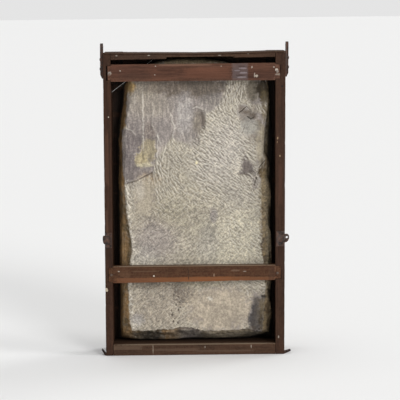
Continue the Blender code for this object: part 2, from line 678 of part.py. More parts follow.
def front_frame(wood):
    """Two uprights, a plain sill and a head cut to the stone's arch. All have a chamfer round the opening."""
    top = FRAME_HEIGHT
    for name, side in (("face_left", -1), ("face_right", 1)):
        outer, sight = side * HALF, side * SIGHT_HALF
        outline = [
            (outer, FACE_BACK, 0), (outer, FRONT, 0), (sight + side * FACE_CHAMFER, FRONT, 0),
            (sight, FRONT - FACE_CHAMFER, 0), (sight, FACE_BACK, 0),
        ]
        prism(name, outline, (0, 0, top), wood)
    reach = SIGHT_HALF - JOINT_GAP
    sill = [
        (-reach, FACE_BACK, 0), (-reach, FRONT, 0), (-reach, FRONT, FACE_SILL - FACE_CHAMFER),
        (-reach, FRONT - FACE_CHAMFER, FACE_SILL), (-reach, FACE_BACK, FACE_SILL),
    ]
    prism("face_sill", sill, (2 * reach, 0, 0), wood)

    crown = top - SIGHT_DROP
    steps = 24
    bm = bmesh.new()
    arc = []
    for step in range(steps + 1):
        x = -reach + 2 * reach * step / steps
        arc.append((x, arch_height(x, SIGHT_RADIUS, crown)))
    outline = arc + sagging(-reach, reach, top)[::-1]
    face = bm.faces.new([bm.verts.new((x, FACE_BACK, z)) for x, z in outline])
    pushed = bmesh.ops.extrude_face_region(bm, geom=[face])["geom"]
    moved = [item for item in pushed if isinstance(item, bmesh.types.BMVert)]
    bmesh.ops.translate(bm, verts=moved, vec=(0, FACE_THICKNESS, 0))
    front_arc = [
        edge for edge in bm.edges
        if all(vert.co.y > FRONT - 1e-6 for vert in edge.verts)
        and all(vert.co.z < crown + 1e-6 for vert in edge.verts)
    ]
    bmesh.ops.bevel(bm, geom=front_arc, offset=FACE_CHAMFER, segments=1, profile=0.5, affect="EDGES",
                    clamp_overlap=True, material=-1)
    add_object("face_head", bm, wood)


# Iron fittings

def hanger(name, side, stile, iron):
    """A forged strap on the side of the box, with an eye above the cap and a thinned lower end."""
    inner = side * (HALF + JOINT_GAP)
    radius = HANGER_WIDTH / 2
    middle = BACK + HANGER_INSET + radius
    top = FRAME_HEIGHT + HANGER_ABOVE
    low = top - HANGER_LENGTH
    steps = 10
    outline = []
    for step in range(steps + 1):
        angle = math.pi * step / steps
        outline.append((inner, middle + radius * math.cos(angle), top - radius + radius * math.sin(angle)))
    for step in range(steps + 1):
        angle = math.pi + math.pi * step / steps
        outline.append((inner, middle + radius * math.cos(angle), low + radius + radius * math.sin(angle)))
    strap = prism(name, outline, (side * HANGER_THICKNESS, 0, 0), iron)
    outer = inner + side * HANGER_THICKNESS
    for vert in strap.data.vertices:
        if abs(vert.co.x - outer) < 1e-6:
            vert.co.x -= side * HANGER_TAPER * smooth_step(low + radius * 1.1, low, vert.co.z)
    eye = (outer, middle, top - radius)
    drill([strap], eye, (-side, 0, 0), HANGER_EYE, HANGER_THICKNESS + CUT_PAST, iron)
    for number, drop in enumerate(NAIL_DROPS, start=1):
        point = (outer, middle, top - drop)
        fastener(f"{name}_nail_{number}", point, (-side, 0, 0), NAIL_HEAD, NAIL_SHANK, NAIL_LENGTH,
                 (strap, stile), iron)
    return strap


def fixing_plate(name, side, stile, stile_width, reach, hole, iron):
    """A flat plate screwed to the back of a stile, with a lobe that stands out past its side."""
    low, high = PLATE_BOTTOM, PLATE_BOTTOM + PLATE_HEIGHT
    edge = side * HALF
    inner = side * (HALF - stile_width + PLATE_INSET_IN)
    outer = edge - side * PLATE_INSET_OUT
    lobe_low = low + LOBE_LIFT
    half_lobe = LOBE_HEIGHT / 2
    outline = [(inner, low), (outer, low)]
    steps = 10
    for step in range(steps + 1):
        angle = -math.pi / 2 + math.pi * step / steps
        x = edge + side * reach * math.cos(angle) ** 0.75
        z = lobe_low + half_lobe + half_lobe * math.sin(angle) + 0.12 * LOBE_HEIGHT * math.cos(angle)
        outline.append((x if 0 < step < steps else outer, z))
    outline += [(outer, high), (inner, high)]
    y = BACK - JOINT_GAP
    plate = prism(name, [(x, y, z) for x, z in outline], (0, -PLATE_THICKNESS, 0), iron)
    back = y - PLATE_THICKNESS
    if hole:
        hole_x = edge + side * (reach - PLATE_HOLE / 2 - PLATE_HOLE_EDGE)
        centre = (hole_x, back, lobe_low + 0.62 * LOBE_HEIGHT)
        drill([plate], centre, (0, 1, 0), PLATE_HOLE, PLATE_THICKNESS + CUT_PAST, iron)
    middle = (inner + outer) / 2
    head_hole = SCREW_HEAD + 2 * JOINT_GAP
    for number, z in ((1, low + PLATE_SCREW_INSET), (2, high - PLATE_SCREW_INSET)):
        drill([plate], (middle, back, z), (0, 1, 0), head_hole, PLATE_THICKNESS + CUT_PAST, iron)
        flush_screw(f"{name}_screw_{number}", (middle, back, z), stile, iron)
    return plate


def flush_screw(name, point, stile, iron):
    """A flat-headed screw sunk level with a plate's face, into a stile."""
    x, y, z = point
    start = y + JOINT_GAP
    profile = [
        (0, SCREW_LENGTH), (SCREW_SHANK / 2, SCREW_LENGTH), (SCREW_SHANK / 2, SCREW_HEAD_THICK),
        (SCREW_HEAD / 2, SCREW_HEAD_THICK), (SCREW_HEAD / 2, 0), (0, 0),
    ]
    turned(name, profile, (0, 1, 0), iron, (x, start, z))
    drill([stile], (x, start, z), (0, 1, 0), SCREW_SHANK + 2 * JOINT_GAP, SCREW_LENGTH + JOINT_GAP, iron)


def corner_tab(name, side, stile, stile_width, degrees, length, thick, wood, iron):
    """A thin iron strip let into the foot of a stile, with its end turned up outside."""
    angle = math.radians(degrees)
    start = side * (HALF - stile_width + 2 * JOINT_GAP)
    bend_x = HALF + 2 * JOINT_GAP
    path = [(start, TAB_LIFT), (side * bend_x, TAB_LIFT)]
    bend_steps = 5
    for step in range(1, bend_steps + 1):
        turn = angle * step / bend_steps
        path.append((side * (bend_x + TAB_BEND * math.sin(turn)), TAB_LIFT + TAB_BEND * (1 - math.cos(turn))))
    last_x, last_z = path[-1]
    path.append((last_x + side * length * math.cos(angle), last_z + length * math.sin(angle)))
    upper = []
    for index, (x, z) in enumerate(path):
        turn = angle * min(1.0, max(0.0, (index - 1) / bend_steps))
        thickness = thick * (0.45 if index == len(path) - 1 else 1.0)
        upper.append((x - side * thickness * math.sin(turn), z + thickness * math.cos(turn)))
    y = BACK + TAB_INSET
    outline = [(x, y, z) for x, z in path + upper[::-1]]
    prism(name, outline, (0, TAB_WIDTH, 0), iron)
    near, far = sorted((side * (HALF - stile_width - CUT_PAST), side * (HALF + CUT_PAST)))
    cut(stile, box(f"{name}_cutter", (near, y - JOINT_GAP, -CUT_PAST),
                   (far, y + TAB_WIDTH + JOINT_GAP, TAB_LIFT + thick + JOINT_GAP), wood))


def corner_wire(finish):
    """A thin wire stretched across the upper left corner, behind the batten."""
    y = BACK + BATTEN_THICKNESS + WIRE_BEHIND
    start = Vector((INNER_LEFT + WIRE, y, RAIL_TOP - WIRE_DROP))
    end_x = INNER_LEFT + WIRE_REACH
    end = Vector((end_x, y, rail_under(end_x) - WIRE))
    curve = bpy.data.curves.new("corner_wire", "CURVE")
    curve.dimensions = "3D"
    curve.bevel_depth = WIRE / 2
    curve.bevel_resolution = 1
    curve.use_fill_caps = True
    spline = curve.splines.new("POLY")
    count = 5
    spline.points.add(count - 1)
    for index, point in enumerate(spline.points):
        share = index / (count - 1)
        place = start.lerp(end, share)
        place.z -= WIRE_SAG * 4 * share * (1 - share)
        point.co = (*place, 1.0)
    wire = bpy.data.objects.new("corner_wire", curve)
    curve.materials.append(finish)
    bpy.context.collection.objects.link(wire)
    return wire


def lean(objects):
    """Leans the finished box: every point moves to the right by a share of its height."""
    shear = Matrix.Identity(4)
    shear[0][2] = OUT_OF_SQUARE
    for obj in objects:
        obj.data.transform(shear)
        obj.location = shear @ obj.location


def main():
    for obj in list(bpy.data.objects):
        bpy.data.objects.remove(obj)
    marble = material("marble", (0.41, 0.37, 0.30), 0.75)
    wood = material("old_wood", (0.075, 0.040, 0.025), 0.55)
    iron = material("iron", (0.035, 0.028, 0.025), 0.60, 0.6)
    bright_wire = material("wire", (0.45, 0.45, 0.43), 0.35, 0.9)

    niche_stone(marble)
    left, right = wooden_box(wood, iron)
    front_frame(wood)
    hanger("hanger_left", -1, left, iron)
    hanger("hanger_right", 1, right, iron)
    fixing_plate("plate_left", -1, left, STILE_LEFT, LOBE_LEFT, False, iron)
    right_width = HALF - inner_right(PLATE_BOTTOM + PLATE_HEIGHT / 2)
    fixing_plate("plate_right", 1, right, right_width, LOBE_RIGHT, True, iron)
    corner_tab("tab_left", -1, left, STILE_LEFT, TAB_LEFT_TURN, TAB_LEFT_END, TAB_LEFT, wood, iron)
    corner_tab("tab_right", 1, right, STILE_RIGHT_FOOT, TAB_RIGHT_TURN, TAB_RIGHT_END, TAB_RIGHT, wood, iron)
    corner_wire(bright_wire)
    lean(bpy.data.objects)


main()
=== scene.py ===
# %% [markdown]
# # The back of an old marble relief
# A marble slab, rough behind and carved with a shell niche in front, sits in a worn wooden box. Two battens
# hold it in from behind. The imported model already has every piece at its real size, so this script only
# makes the surfaces: tooled and broken stone, old wood, rusty iron. Each step says what the real thing is,
# how it could be made, and why it is made this way.

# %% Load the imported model
import math
import random
import bmesh
import bpy
import numpy as np
from mathutils import Matrix, Vector, noise


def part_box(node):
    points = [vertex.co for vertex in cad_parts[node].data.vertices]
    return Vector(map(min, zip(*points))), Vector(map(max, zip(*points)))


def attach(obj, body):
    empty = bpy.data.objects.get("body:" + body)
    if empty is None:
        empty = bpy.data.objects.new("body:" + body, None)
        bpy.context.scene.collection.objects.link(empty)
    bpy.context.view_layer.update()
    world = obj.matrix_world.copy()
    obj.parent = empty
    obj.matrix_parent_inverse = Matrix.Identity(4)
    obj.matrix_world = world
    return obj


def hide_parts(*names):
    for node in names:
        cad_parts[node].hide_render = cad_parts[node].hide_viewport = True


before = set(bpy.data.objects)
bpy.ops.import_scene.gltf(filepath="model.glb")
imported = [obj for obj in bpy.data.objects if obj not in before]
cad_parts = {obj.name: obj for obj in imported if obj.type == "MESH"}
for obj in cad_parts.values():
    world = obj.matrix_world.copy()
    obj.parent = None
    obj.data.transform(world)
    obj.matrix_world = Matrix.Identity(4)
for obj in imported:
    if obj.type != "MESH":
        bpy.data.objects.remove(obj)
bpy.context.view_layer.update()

# %% [markdown]
# ## Places that the later steps share
# The box leans a little to the right, as old boxes do. Places on it are easier to write down as if it stood
# straight, so `straight` takes the lean away from an x and `leaning` puts it back. Tables of places are in
# millimetres, which are shorter to read, and `metres` turns them into Blender's unit.

# %% Shared sizes
LEAN = 0.0079               # metres to the right for each metre of height
WELD = 0.00002              # corners this close are the same corner
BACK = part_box("stile_left")[0].y
STONE_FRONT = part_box("niche_stone")[1].y
print("back of the box", round(BACK, 4), "front of the stone", round(STONE_FRONT, 4))


def straight(x, z):
    return x - LEAN * z


def leaning(x, z):
    return x + LEAN * z


def metres(*millimetres):
    return [round(value / 1000, 7) for value in millimetres]


def smooth_step(low, high, value):
    share = np.clip((value - low) / (high - low), 0.0, 1.0)
    return share * share * (3 - 2 * share)


def read_line(place, line):
    """Reads a bent line, given by its corners in millimetres, between them."""
    return np.interp(place, *zip(*(metres(*corner) for corner in line)))


def placed(name, data):
    """A new object in the scene that shows this data."""
    made = bpy.data.objects.new(name, data)
    bpy.context.collection.objects.link(made)
    return made


# %% [markdown]
# ## The camera
# The photograph was taken from about four and a half metres with a long lens, so that upright lines stay
# almost parallel. The camera looks down a little and is rolled by half a degree. A turn and a roll could be
# set as angles, but three unit vectors say plainly where the camera looks.

# %% Camera
CAMERA_DISTANCE = 4.5
CAMERA_LENS, CAMERA_SENSOR = 135.0, 36.0    # focal length and sensor width, in mm
CAMERA_PITCH = math.radians(7.4)
CAMERA_ROLL = math.radians(0.62)
CAMERA_TARGET = Vector((0.0196, -0.055, 0.4742))


def make_camera():
    data = bpy.data.cameras.new("camera")
    data.lens = CAMERA_LENS
    data.sensor_width = CAMERA_SENSOR
    camera = placed("camera", data)
    forward = Vector((0, math.cos(CAMERA_PITCH), -math.sin(CAMERA_PITCH)))
    right = Vector((1, 0, 0))
    up = right.cross(forward)
    facing = Matrix((right, up, -forward)).transposed().to_4x4()
    place = Matrix.Translation(CAMERA_TARGET - forward * CAMERA_DISTANCE)
    camera.matrix_world = place @ facing @ Matrix.Rotation(-CAMERA_ROLL, 4, "Z")
    bpy.context.scene.camera = camera
    print("camera stands at", [round(value, 2) for value in camera.matrix_world.translation])


make_camera()

# %% [markdown]
# ## Small tools for nodes
# A material is a small graph. Helpers keep its code short: `node` adds a node and sets its values, `put` sets
# an input or wires a socket to it, and `group` starts a node group with named inputs and outputs, so that an
# effect can be built once and used in several materials.

# %% Node tools
def node(tree, kind, inputs=None, **settings):
    made = tree.nodes.new(kind)
    for name, value in settings.items():
        setattr(made, name, value)
    for name, value in (inputs or {}).items():
        put(tree, made.inputs[name], value)
    return made


def put(tree, socket, value):
    """Wires a socket's output in, or sets a plain value."""
    if isinstance(value, bpy.types.NodeSocket):
        tree.links.new(value, socket)
    else:
        socket.default_value = value


def group(name, inputs, outputs):
    """An empty node group. inputs are names with their first values, and None makes a vector."""
    tree = bpy.data.node_groups.new(name, "ShaderNodeTree")
    for label, value in inputs.items():
        kind = "NodeSocketVector" if value is None else "NodeSocketFloat"
        socket = tree.interface.new_socket(name=label, in_out="INPUT", socket_type=kind)
        if value is not None:
            socket.default_value = value
    for label in outputs:
        tree.interface.new_socket(name=label, in_out="OUTPUT", socket_type="NodeSocketFloat")
    return tree, tree.nodes.new("NodeGroupInput").outputs, tree.nodes.new("NodeGroupOutput").inputs


def use(tree, effect, **inputs):
    """Places a node group in a material and returns its outputs."""
    made = node(tree, "ShaderNodeGroup", node_tree=effect)
    for label, value in inputs.items():
        put(tree, made.inputs[label], value)
    return made.outputs


def math_node(tree, operation, first, second=0.0, third=0.0, clamp=False):
    made = node(tree, "ShaderNodeMath", operation=operation, use_clamp=clamp)
    for socket, value in zip(made.inputs, (first, second, third)):
        put(tree, socket, value)
    return made.outputs[0]


def times(tree, first, second, clamp=False):
    return math_node(tree, "MULTIPLY", first, second, clamp=clamp)


def vector_math(tree, operation, first, second=(0, 0, 0)):
    made = node(tree, "ShaderNodeVectorMath", operation=operation)
    put(tree, made.inputs[0], first)
    put(tree, made.inputs[1], second)
    return made.outputs["Value" if operation == "LENGTH" else "Vector"]


def mix_values(tree, share, first, second):
    made = node(tree, "ShaderNodeMix", data_type="FLOAT")
    for number, value in ((0, share), (2, first), (3, second)):
        put(tree, made.inputs[number], value)
    return made.outputs[0]


def mix_colour(tree, share, first, second, blend="MIX"):
    made = node(tree, "ShaderNodeMix", data_type="RGBA", blend_type=blend)
    for number, value in ((0, share), (6, first), (7, second)):
        put(tree, made.inputs[number], value)
    return made.outputs[2]


def noise_node(tree, vector, scale, detail, roughness=0.5, distortion=0.0):
    return node(tree, "ShaderNodeTexNoise", {"Vector": vector, "Scale": scale, "Detail": detail,
                                             "Roughness": roughness, "Distortion": distortion}).outputs[0]


def object_place(tree):
    return node(tree, "ShaderNodeTexCoord").outputs["Object"]


def attribute(tree, name, output="Fac"):
    """Reads a number or a colour that is kept for each corner of the mesh."""
    return node(tree, "ShaderNodeAttribute", attribute_name=name).outputs[output]


def add_bump(tree, shader, height, strength, distance):
    bump = node(tree, "ShaderNodeBump", {"Height": height, "Strength": strength, "Distance": distance})
    put(tree, shader["Normal"], bump.outputs["Normal"])


def fit(tree, value, low, high, to_low=0.0, to_high=1.0):
    """Maps a range of values onto another, smoothly and without going past its ends."""
    made = node(tree, "ShaderNodeMapRange", interpolation_type="SMOOTHSTEP")
    for socket, setting in zip(made.inputs, (value, low, high, to_low, to_high)):
        put(tree, socket, setting)
    return made.outputs[0]


def srgb(red, green, blue):
    """A colour as it is read off a screen, 0 to 255, turned into the linear values that Blender uses."""
    linear = [value / 255 for value in (red, green, blue)]
    linear = [v / 12.92 if v < 0.04045 else ((v + 0.055) / 1.055) ** 2.4 for v in linear]
    return (*linear, 1.0)


def material(name, roughness, metallic=0.0):
    made = bpy.data.materials.new(name)
    made.use_nodes = True
    shader = made.node_tree.nodes["Principled BSDF"]
    shader.inputs["Roughness"].default_value = roughness
    shader.inputs["Metallic"].default_value = metallic
    return made, made.node_tree, shader.inputs


# %% [markdown]
# ## Floor and light
# The box stands on a pale studio floor that runs on past the picture, so no wall hides the carved front from
# behind. Area lamps would leave the far floor dark. Distant lamps shine as strongly there as near the box,
# and a wide angle makes their shadows just as soft. One stands at the camera's right. A low one far to the
# right draws out the chisel marks and lays a faint shade on the left, another lights the carved front, and
# one is overhead.

# %% Studio
FLOOR_REACH = 120.0         # metres to its edge, so that the edge lies at the horizon
FLOOR_TONE = (0.84, 0.84, 0.835, 1)
SURROUND_LIGHT = 0.36
SURROUND_SEEN = 0.78        # how bright the same surround looks to the camera
LAMPS = {                   # lamp: (direction that it stands in, how wide it looks in degrees, strength)
    "key": ((0.50, -0.79, 0.37), 22, 1.44), "side": ((0.93, -0.24, 0.28), 20, 1.45),
    "behind": ((0.80, 0.48, 0.34), 30, 1.20), "overhead": ((-0.10, 0.05, 1.0), 40, 0.85),
}


def finished_mesh(name, bm):
    mesh = bpy.data.meshes.new(name)
    bm.to_mesh(mesh)
    bm.free()
    return mesh


def studio_floor():
    bm = bmesh.new()
    bmesh.ops.create_circle(bm, cap_ends=True, segments=64, radius=FLOOR_REACH)
    floor = placed("studio_floor", finished_mesh("studio_floor", bm))
    finish, _, sockets = material("studio_floor", 0.9)
    sockets["Base Color"].default_value = FLOOR_TONE
    floor.data.materials.append(finish)


def lamp(name, direction, width, strength):
    data = bpy.data.lights.new(name, "SUN")
    data.angle = math.radians(width)
    data.energy = strength
    placed(name, data).rotation_euler = Vector(direction).to_track_quat("Z", "Y").to_euler()


def studio_light():
    world = bpy.data.worlds.new("studio")
    bpy.context.scene.world = world
    world.use_nodes = True
    tree = world.node_tree
    surround = tree.nodes["Background"]
    surround.inputs["Strength"].default_value = SURROUND_LIGHT
    seen = node(tree, "ShaderNodeBackground", {"Strength": SURROUND_SEEN})
    to_camera = node(tree, "ShaderNodeLightPath").outputs["Is Camera Ray"]
    choose = node(tree, "ShaderNodeMixShader", {0: to_camera})
    tree.links.new(surround.outputs[0], choose.inputs[1])
    tree.links.new(seen.outputs[0], choose.inputs[2])
    tree.links.new(choose.outputs[0], tree.nodes["World Output"].inputs["Surface"])
    for light in (surround, seen):
        light.inputs["Color"].default_value = (1.0, 1.0, 1.0, 1)
    for name, (direction, width, strength) in LAMPS.items():
        lamp(name, direction, width, strength)
    bpy.context.scene.view_settings.view_transform = "Standard"


studio_floor()
studio_light()

# %% [markdown]
# ## Small tools for meshes
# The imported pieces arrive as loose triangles. `merged_copy` joins their corners and melts flat triangles
# into whole faces, which is what bevel and bisect need. `add_piece` turns a finished mesh into an object
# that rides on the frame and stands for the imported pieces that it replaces.

# %% Mesh tools
FLAT = math.radians(1.0)    # faces that turn less than this are one face


def merged_copy(name, dissolve=True):
    bm = bmesh.new()
    bm.from_mesh(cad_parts[name].data)
    bmesh.ops.remove_doubles(bm, verts=bm.verts, dist=WELD)
    if dissolve:
        bmesh.ops.dissolve_limit(bm, angle_limit=FLAT, verts=bm.verts, edges=bm.edges)
    return bm


def add_piece(name, bm, finish, replaced):
    for face in bm.faces:
        face.smooth = True
    piece = placed(name, finished_mesh(name, bm))
    piece.data.materials.append(finish)
    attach(piece, "root")
    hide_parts(*replaced)
    return piece


def set_values(mesh, name, values):
    """Keeps one number for each corner of a mesh, which a material can read."""
    layer = mesh.attributes.get(name) or mesh.attributes.new(name, "FLOAT", "POINT")
    layer.data.foreach_set("value", np.asarray(values, dtype=np.float32))


def corners(mesh):
    """All corners and their normals, as two arrays with a row each."""
    places, normals = np.empty((2, len(mesh.vertices) * 3), dtype=np.float32)
    mesh.vertices.foreach_get("co", places)
    mesh.vertex_normals.foreach_get("vector", normals)
    return places.reshape(-1, 3).astype(float), normals.reshape(-1, 3).astype(float)


def move_corners(mesh, places):
    mesh.vertices.foreach_set("co", places.astype(np.float32).ravel())
    mesh.update()


def across_and_up(places):
    return straight(places[:, 0], places[:, 2]), places[:, 2]


def rough(places, size, seed=0.0):
    """Smooth noise, about -1 to 1, with lumps of about this size."""
    shift = Vector((seed, seed * 1.7, -seed))
    return np.array([noise.noise(Vector(place) / size + shift) for place in places])


def modified_mesh(draft):
    """The mesh that an object's modifiers make of it. The object itself goes."""
    made = bpy.data.meshes.new_from_object(draft.evaluated_get(bpy.context.evaluated_depsgraph_get()))
    bpy.data.objects.remove(draft)
    return made


# %% [markdown]
# ## The stone's shape
# The imported slab has the right outline, but its faces are far too plain. It could be subdivided, but its
# carved front is made of long thin triangles. A voxel remesh lays an even skin of small faces over the whole
# slab instead, and rounds its edges a little as wear does.

# %% Remeshed slab
VOXEL = 0.0021
SKIN_ROUNDS = 3


def remeshed_slab():
    draft = placed("slab_draft", finished_mesh("slab_draft", merged_copy("niche_stone", dissolve=False)))
    skin = draft.modifiers.new("skin", "REMESH")
    skin.mode = "VOXEL"
    skin.voxel_size = VOXEL
    soften = draft.modifiers.new("soften", "SMOOTH")
    soften.factor = 0.5
    soften.iterations = SKIN_ROUNDS
    made = modified_mesh(draft)
    print("the slab's skin has", len(made.polygons), "faces")
    return made


slab = remeshed_slab()

# %% [markdown]
# ## Chisel marks
# The mason took the back down with a pointed chisel. Each blow left a groove of about 20 mm with a bruised
# white ridge beside it. The marks slope down to the right, steeper towards the left and upright near the
# top, and they turn short and mixed lower down. A noise texture gives no such strokes, so they are stamped
# one by one into a height map of one-millimetre cells, which the mesh then reads.

# %% Stroke map
MAP_CELL = 0.001
MAP_LEFT, MAP_RIGHT = -0.240, 0.245
MAP_LOW, MAP_HIGH = 0.030, 0.905
STROKE_PITCH = 0.0080       # between the middles of neighbouring marks
STROKE_DEPTH = 0.0021
STROKE_SEED = 7
STROKE_LENGTHS = (0.0050, 0.0125)       # half of a mark's length, from the shortest to the longest
STROKE_WIDTHS = (0.0015, 0.0030)
STROKE_WEIGHTS = (0.35, 1.0)
# The upper border of the tooled part, from left to right
TOOLED_EDGE = (
    (-226, 505), (-210, 522), (-125, 554), (-116, 594), (-89, 630), (-68, 662), (-44, 644), (-20, 638),
    (10, 665), (31, 700), (35, 733), (65, 745), (77, 769), (92, 800), (98, 905), (226, 905),
)
SMOOTH_PATCHES = (          # inside the tooled part, left untouched: x, z, half width, half height
    (-151, 484, 34, 52), (178, 700, 40, 50), (80, 133, 105, 72), (202, 620, 18, 110), (182, 124, 21, 62),
    (206, 115, 26, 66), (145, 735, 22, 24), (190, 800, 38, 50), (157, 571, 19, 22),
)


def tooled(x, z, wander=0.0):
    """1 where the back is chiselled, 0 where it was left as it broke or was sawn."""
    share = smooth_step(0.006, -0.006, z - (read_line(x, TOOLED_EDGE) + wander))
    for patch in SMOOTH_PATCHES:
        px, pz, half_width, half_height = metres(*patch)
        away = np.hypot((x - px) / half_width, (z - pz) / half_height) + wander * 25
        share = share * smooth_step(0.80, 1.10, away)
    return share


def stroke_slope(x, z):
    """Angle of the marks below the level, in degrees: upright at the top and at the left."""
    top = 47 * float(smooth_step(0.71, 0.79, z))
    left = 34 * float(smooth_step(0.00, -0.11, x)) * float(smooth_step(0.44, 0.52, z))
    return 38 + max(top, left)


def bold(x, z):
    """1 in the upper right part, where the marks are cut deepest."""
    return smooth_step(-0.03, 0.05, x) * smooth_step(0.44, 0.56, z)


def stamp(window_groove, window_ridge, along, beside, length, width, weight):
    """Presses one mark into the maps: a groove, and a bruised ridge on its lower side."""
    body = np.clip(1 - (along / length) ** 2, 0, 1) ** 0.6
    groove = weight * body * np.exp(-(beside / width) ** 2)
    ridge = weight * body * np.exp(-((beside + 1.45 * width) / (0.70 * width)) ** 2)
    np.maximum(window_groove, groove, out=window_groove)
    window_ridge *= 1 - 0.85 * groove
    np.maximum(window_ridge, ridge, out=window_ridge)


def stamp_strokes():
    random.seed(STROKE_SEED)
    columns = int((MAP_RIGHT - MAP_LEFT) / MAP_CELL)
    rows = int((MAP_HIGH - MAP_LOW) / MAP_CELL)
    grooves = np.zeros((rows, columns))
    ridges = np.zeros((rows, columns))
    spots = [(x, z) for z in np.arange(MAP_LOW, MAP_HIGH, STROKE_PITCH)
             for x in np.arange(MAP_LEFT, MAP_RIGHT, STROKE_PITCH)]
    random.shuffle(spots)
    stamped = 0
    for x, z in spots:
        x += random.uniform(-0.7, 0.7) * STROKE_PITCH
        z += random.uniform(-0.7, 0.7) * STROKE_PITCH
        orderly = max(float(smooth_step(0.40, 0.50, z)), 0.8 * float(smooth_step(0.06, 0.12, x)))
        slope = math.radians(-stroke_slope(x, z) + random.gauss(0, 10 + 26 * (1 - orderly)))
        length = random.uniform(*STROKE_LENGTHS) * (0.60 + 0.40 * orderly)
        width = random.uniform(*STROKE_WIDTHS) * (0.80 + 0.20 * orderly)
        weight = random.uniform(*STROKE_WEIGHTS) * (0.50 + 0.50 * orderly)
        weight *= 0.75 + 0.5 * noise.noise(Vector((x, z, 0)) / 0.045)
        reach = int((length + width * 3) / MAP_CELL) + 1
        column = int((x - MAP_LEFT) / MAP_CELL)
        row = int((z - MAP_LOW) / MAP_CELL)
        if not (reach < column < columns - reach and reach < row < rows - reach):
            continue
        steps = np.arange(-reach, reach + 1) * MAP_CELL
        along = steps[None, :] * math.cos(slope) + steps[:, None] * math.sin(slope)
        beside = -steps[None, :] * math.sin(slope) + steps[:, None] * math.cos(slope)
        window = (slice(row - reach, row + reach + 1), slice(column - reach, column + reach + 1))
        stamp(grooves[window], ridges[window], along, beside, length, width, weight)
        stamped += float(tooled(x, z)) > 0.5
    print(stamped, "chisel marks lie in the tooled area of the map")
    return grooves, ridges


GROOVES, RIDGES = stamp_strokes()


def read_map(values, x, z):
    """Reads a map between its cells."""
    column = np.clip((x - MAP_LEFT) / MAP_CELL, 0, values.shape[1] - 1.001)
    row = np.clip((z - MAP_LOW) / MAP_CELL, 0, values.shape[0] - 1.001)
    c, r = column.astype(int), row.astype(int)
    fc, fr = column - c, row - r
    low = values[r, c] * (1 - fc) + values[r, c + 1] * fc
    high = values[r + 1, c] * (1 - fc) + values[r + 1, c + 1] * fc
    return low * (1 - fr) + high * fr


# %% [markdown]
# ## Relief on the back
# Other marks are put where the real back has them: a broken rim that slopes away all round, thin upright
# ridges on the quarry face, steps, cracks, a dark hollow and small pits. Each is a short formula that pushes
# corners in or out by a millimetre or two.

# %% Back relief
# Where the flat back ends and its rim begins, as heights with how far out the flat part reaches
LEFT_RIM = (
    (60, -190), (110, -198.5), (213, -203), (274, -196), (315, -189), (361, -194), (433, -205.5),
    (499, -209), (539, -211), (559, -216), (682, -217), (700, -208), (724, -203), (775, -202.5),
    (823, -195),
)
RIGHT_RIM = (
    (60, 204), (200, 214), (300, 203.4), (347, 203.2), (438.5, 202), (530, 198), (560, 206), (600, 213),
    (687, 214), (765, 216), (824, 216),
)
BOTTOM_RIM = (
    (-200, 73), (-138, 72.7), (-65, 75), (-46, 81), (-10, 79), (27, 68), (60.5, 67.4), (91, 70),
    (161, 72.5), (204, 60),
)
RIM_SLOPE = 0.55
LUMP, CRUMB, GRAIN_SIZE = 0.030, 0.011, 0.0055
LEDGE_DEPTH = 0.0042
CRUMB_HEIGHT = 0.0028
# Thin raised lines: x and z of both ends, height, half width
FINE_RIDGES = (
    (-154, 800, -154.5, 622, 1.7, 2.1), (-109.6, 672, -112, 612, 1.6, 2), (-72, 735, -60, 690, 1.6, 2.2),
    (-60, 700, -68, 640, 1.5, 2.2), (-126, 700, -100, 640, 1, 2.2), (-8, 748, 6, 754, 1.5, 2),
    (6, 754, 26, 742, 1.5, 2), (-85, 640, -98, 590, 1.3, 2.4), (-208, 690, -187, 684, 1.4, 1.6),
    (-187, 684, -176, 668, 1.2, 1.6), (-198, 612, -162, 616, 0.8, 1.4), (-145, 667, -128, 683, 1, 1.4),
    (-178, 799, -179, 752, 0.7, 1.4), (-124, 768, -125, 700, 0.6, 2), (-112, 615, -113, 566, 1.2, 2.2),
    (-45, 775, -44, 700, 0.6, 2.4), (-25, 780, -23, 720, 0.5, 2.4),
)
# Steps: x and z of both ends. The surface drops by this much below the line.
STEPS = ((-212, 520, -124, 556, 4), (-181, 590, -116, 572, 1.8))
# Cracks: x and z of both ends, depth, half width
CRACKS = (
    (138.5, 737, 156, 752, 2.6, 1.3), (167, 712, 178, 720, 3, 1.6), (193, 566, 212, 590, 3, 1.4),
    (208, 600, 210, 660, 1.8, 1.3), (150, 690, 140, 668, 1.4, 1.2), (156, 752, 170, 738, 1.6, 1.2),
    (187, 540, 179, 512, 2.2, 1.6), (174, 700, 190, 694, 1.4, 1.2), (133, 732, 145, 742, 3, 1.4),
    (156, 722, 169, 714, 3.2, 1.8), (186, 538, 180, 516, 3, 1.6), (196, 562, 190, 548, 2.6, 1.6),
    (-19.5, 638, -17, 612, 1.4, 1.4), (-208, 521, -172, 532, 1.6, 2.6), (-168, 535, -126, 557, 1.8, 2.4),
    (200, 330, 212, 352, 2.8, 2), (204, 176, 218, 170, 3.4, 2.2), (10, 676, -2, 650, 1.2, 1.3),
)
HOLLOW = (18, 708, 17, 38, 3.4)     # x, z, half width, half height, depth
# Small deep pits: x, z, half width, depth
PITS = (
    (-51.9, 174.1, 2.6, 3), (-58.1, 149.4, 2.6, 3), (-50.6, 133.8, 2.6, 3), (-44.4, 141.5, 2.2, 2.5),
    (-70.4, 118.5, 3.4, 3), (-66, 98.3, 2.8, 3), (-52.3, 93.5, 2.6, 3), (-62, 107, 2.6, 2.5),
    (-65, 180, 2.2, 2), (-47, 157, 2, 2.2), (-73, 133, 2.2, 2.2), (204, 104, 3, 2.4), (212, 129, 3, 2.4),
    (196, 70, 3, 2.4), (189, 64, 2.6, 2.4),
)


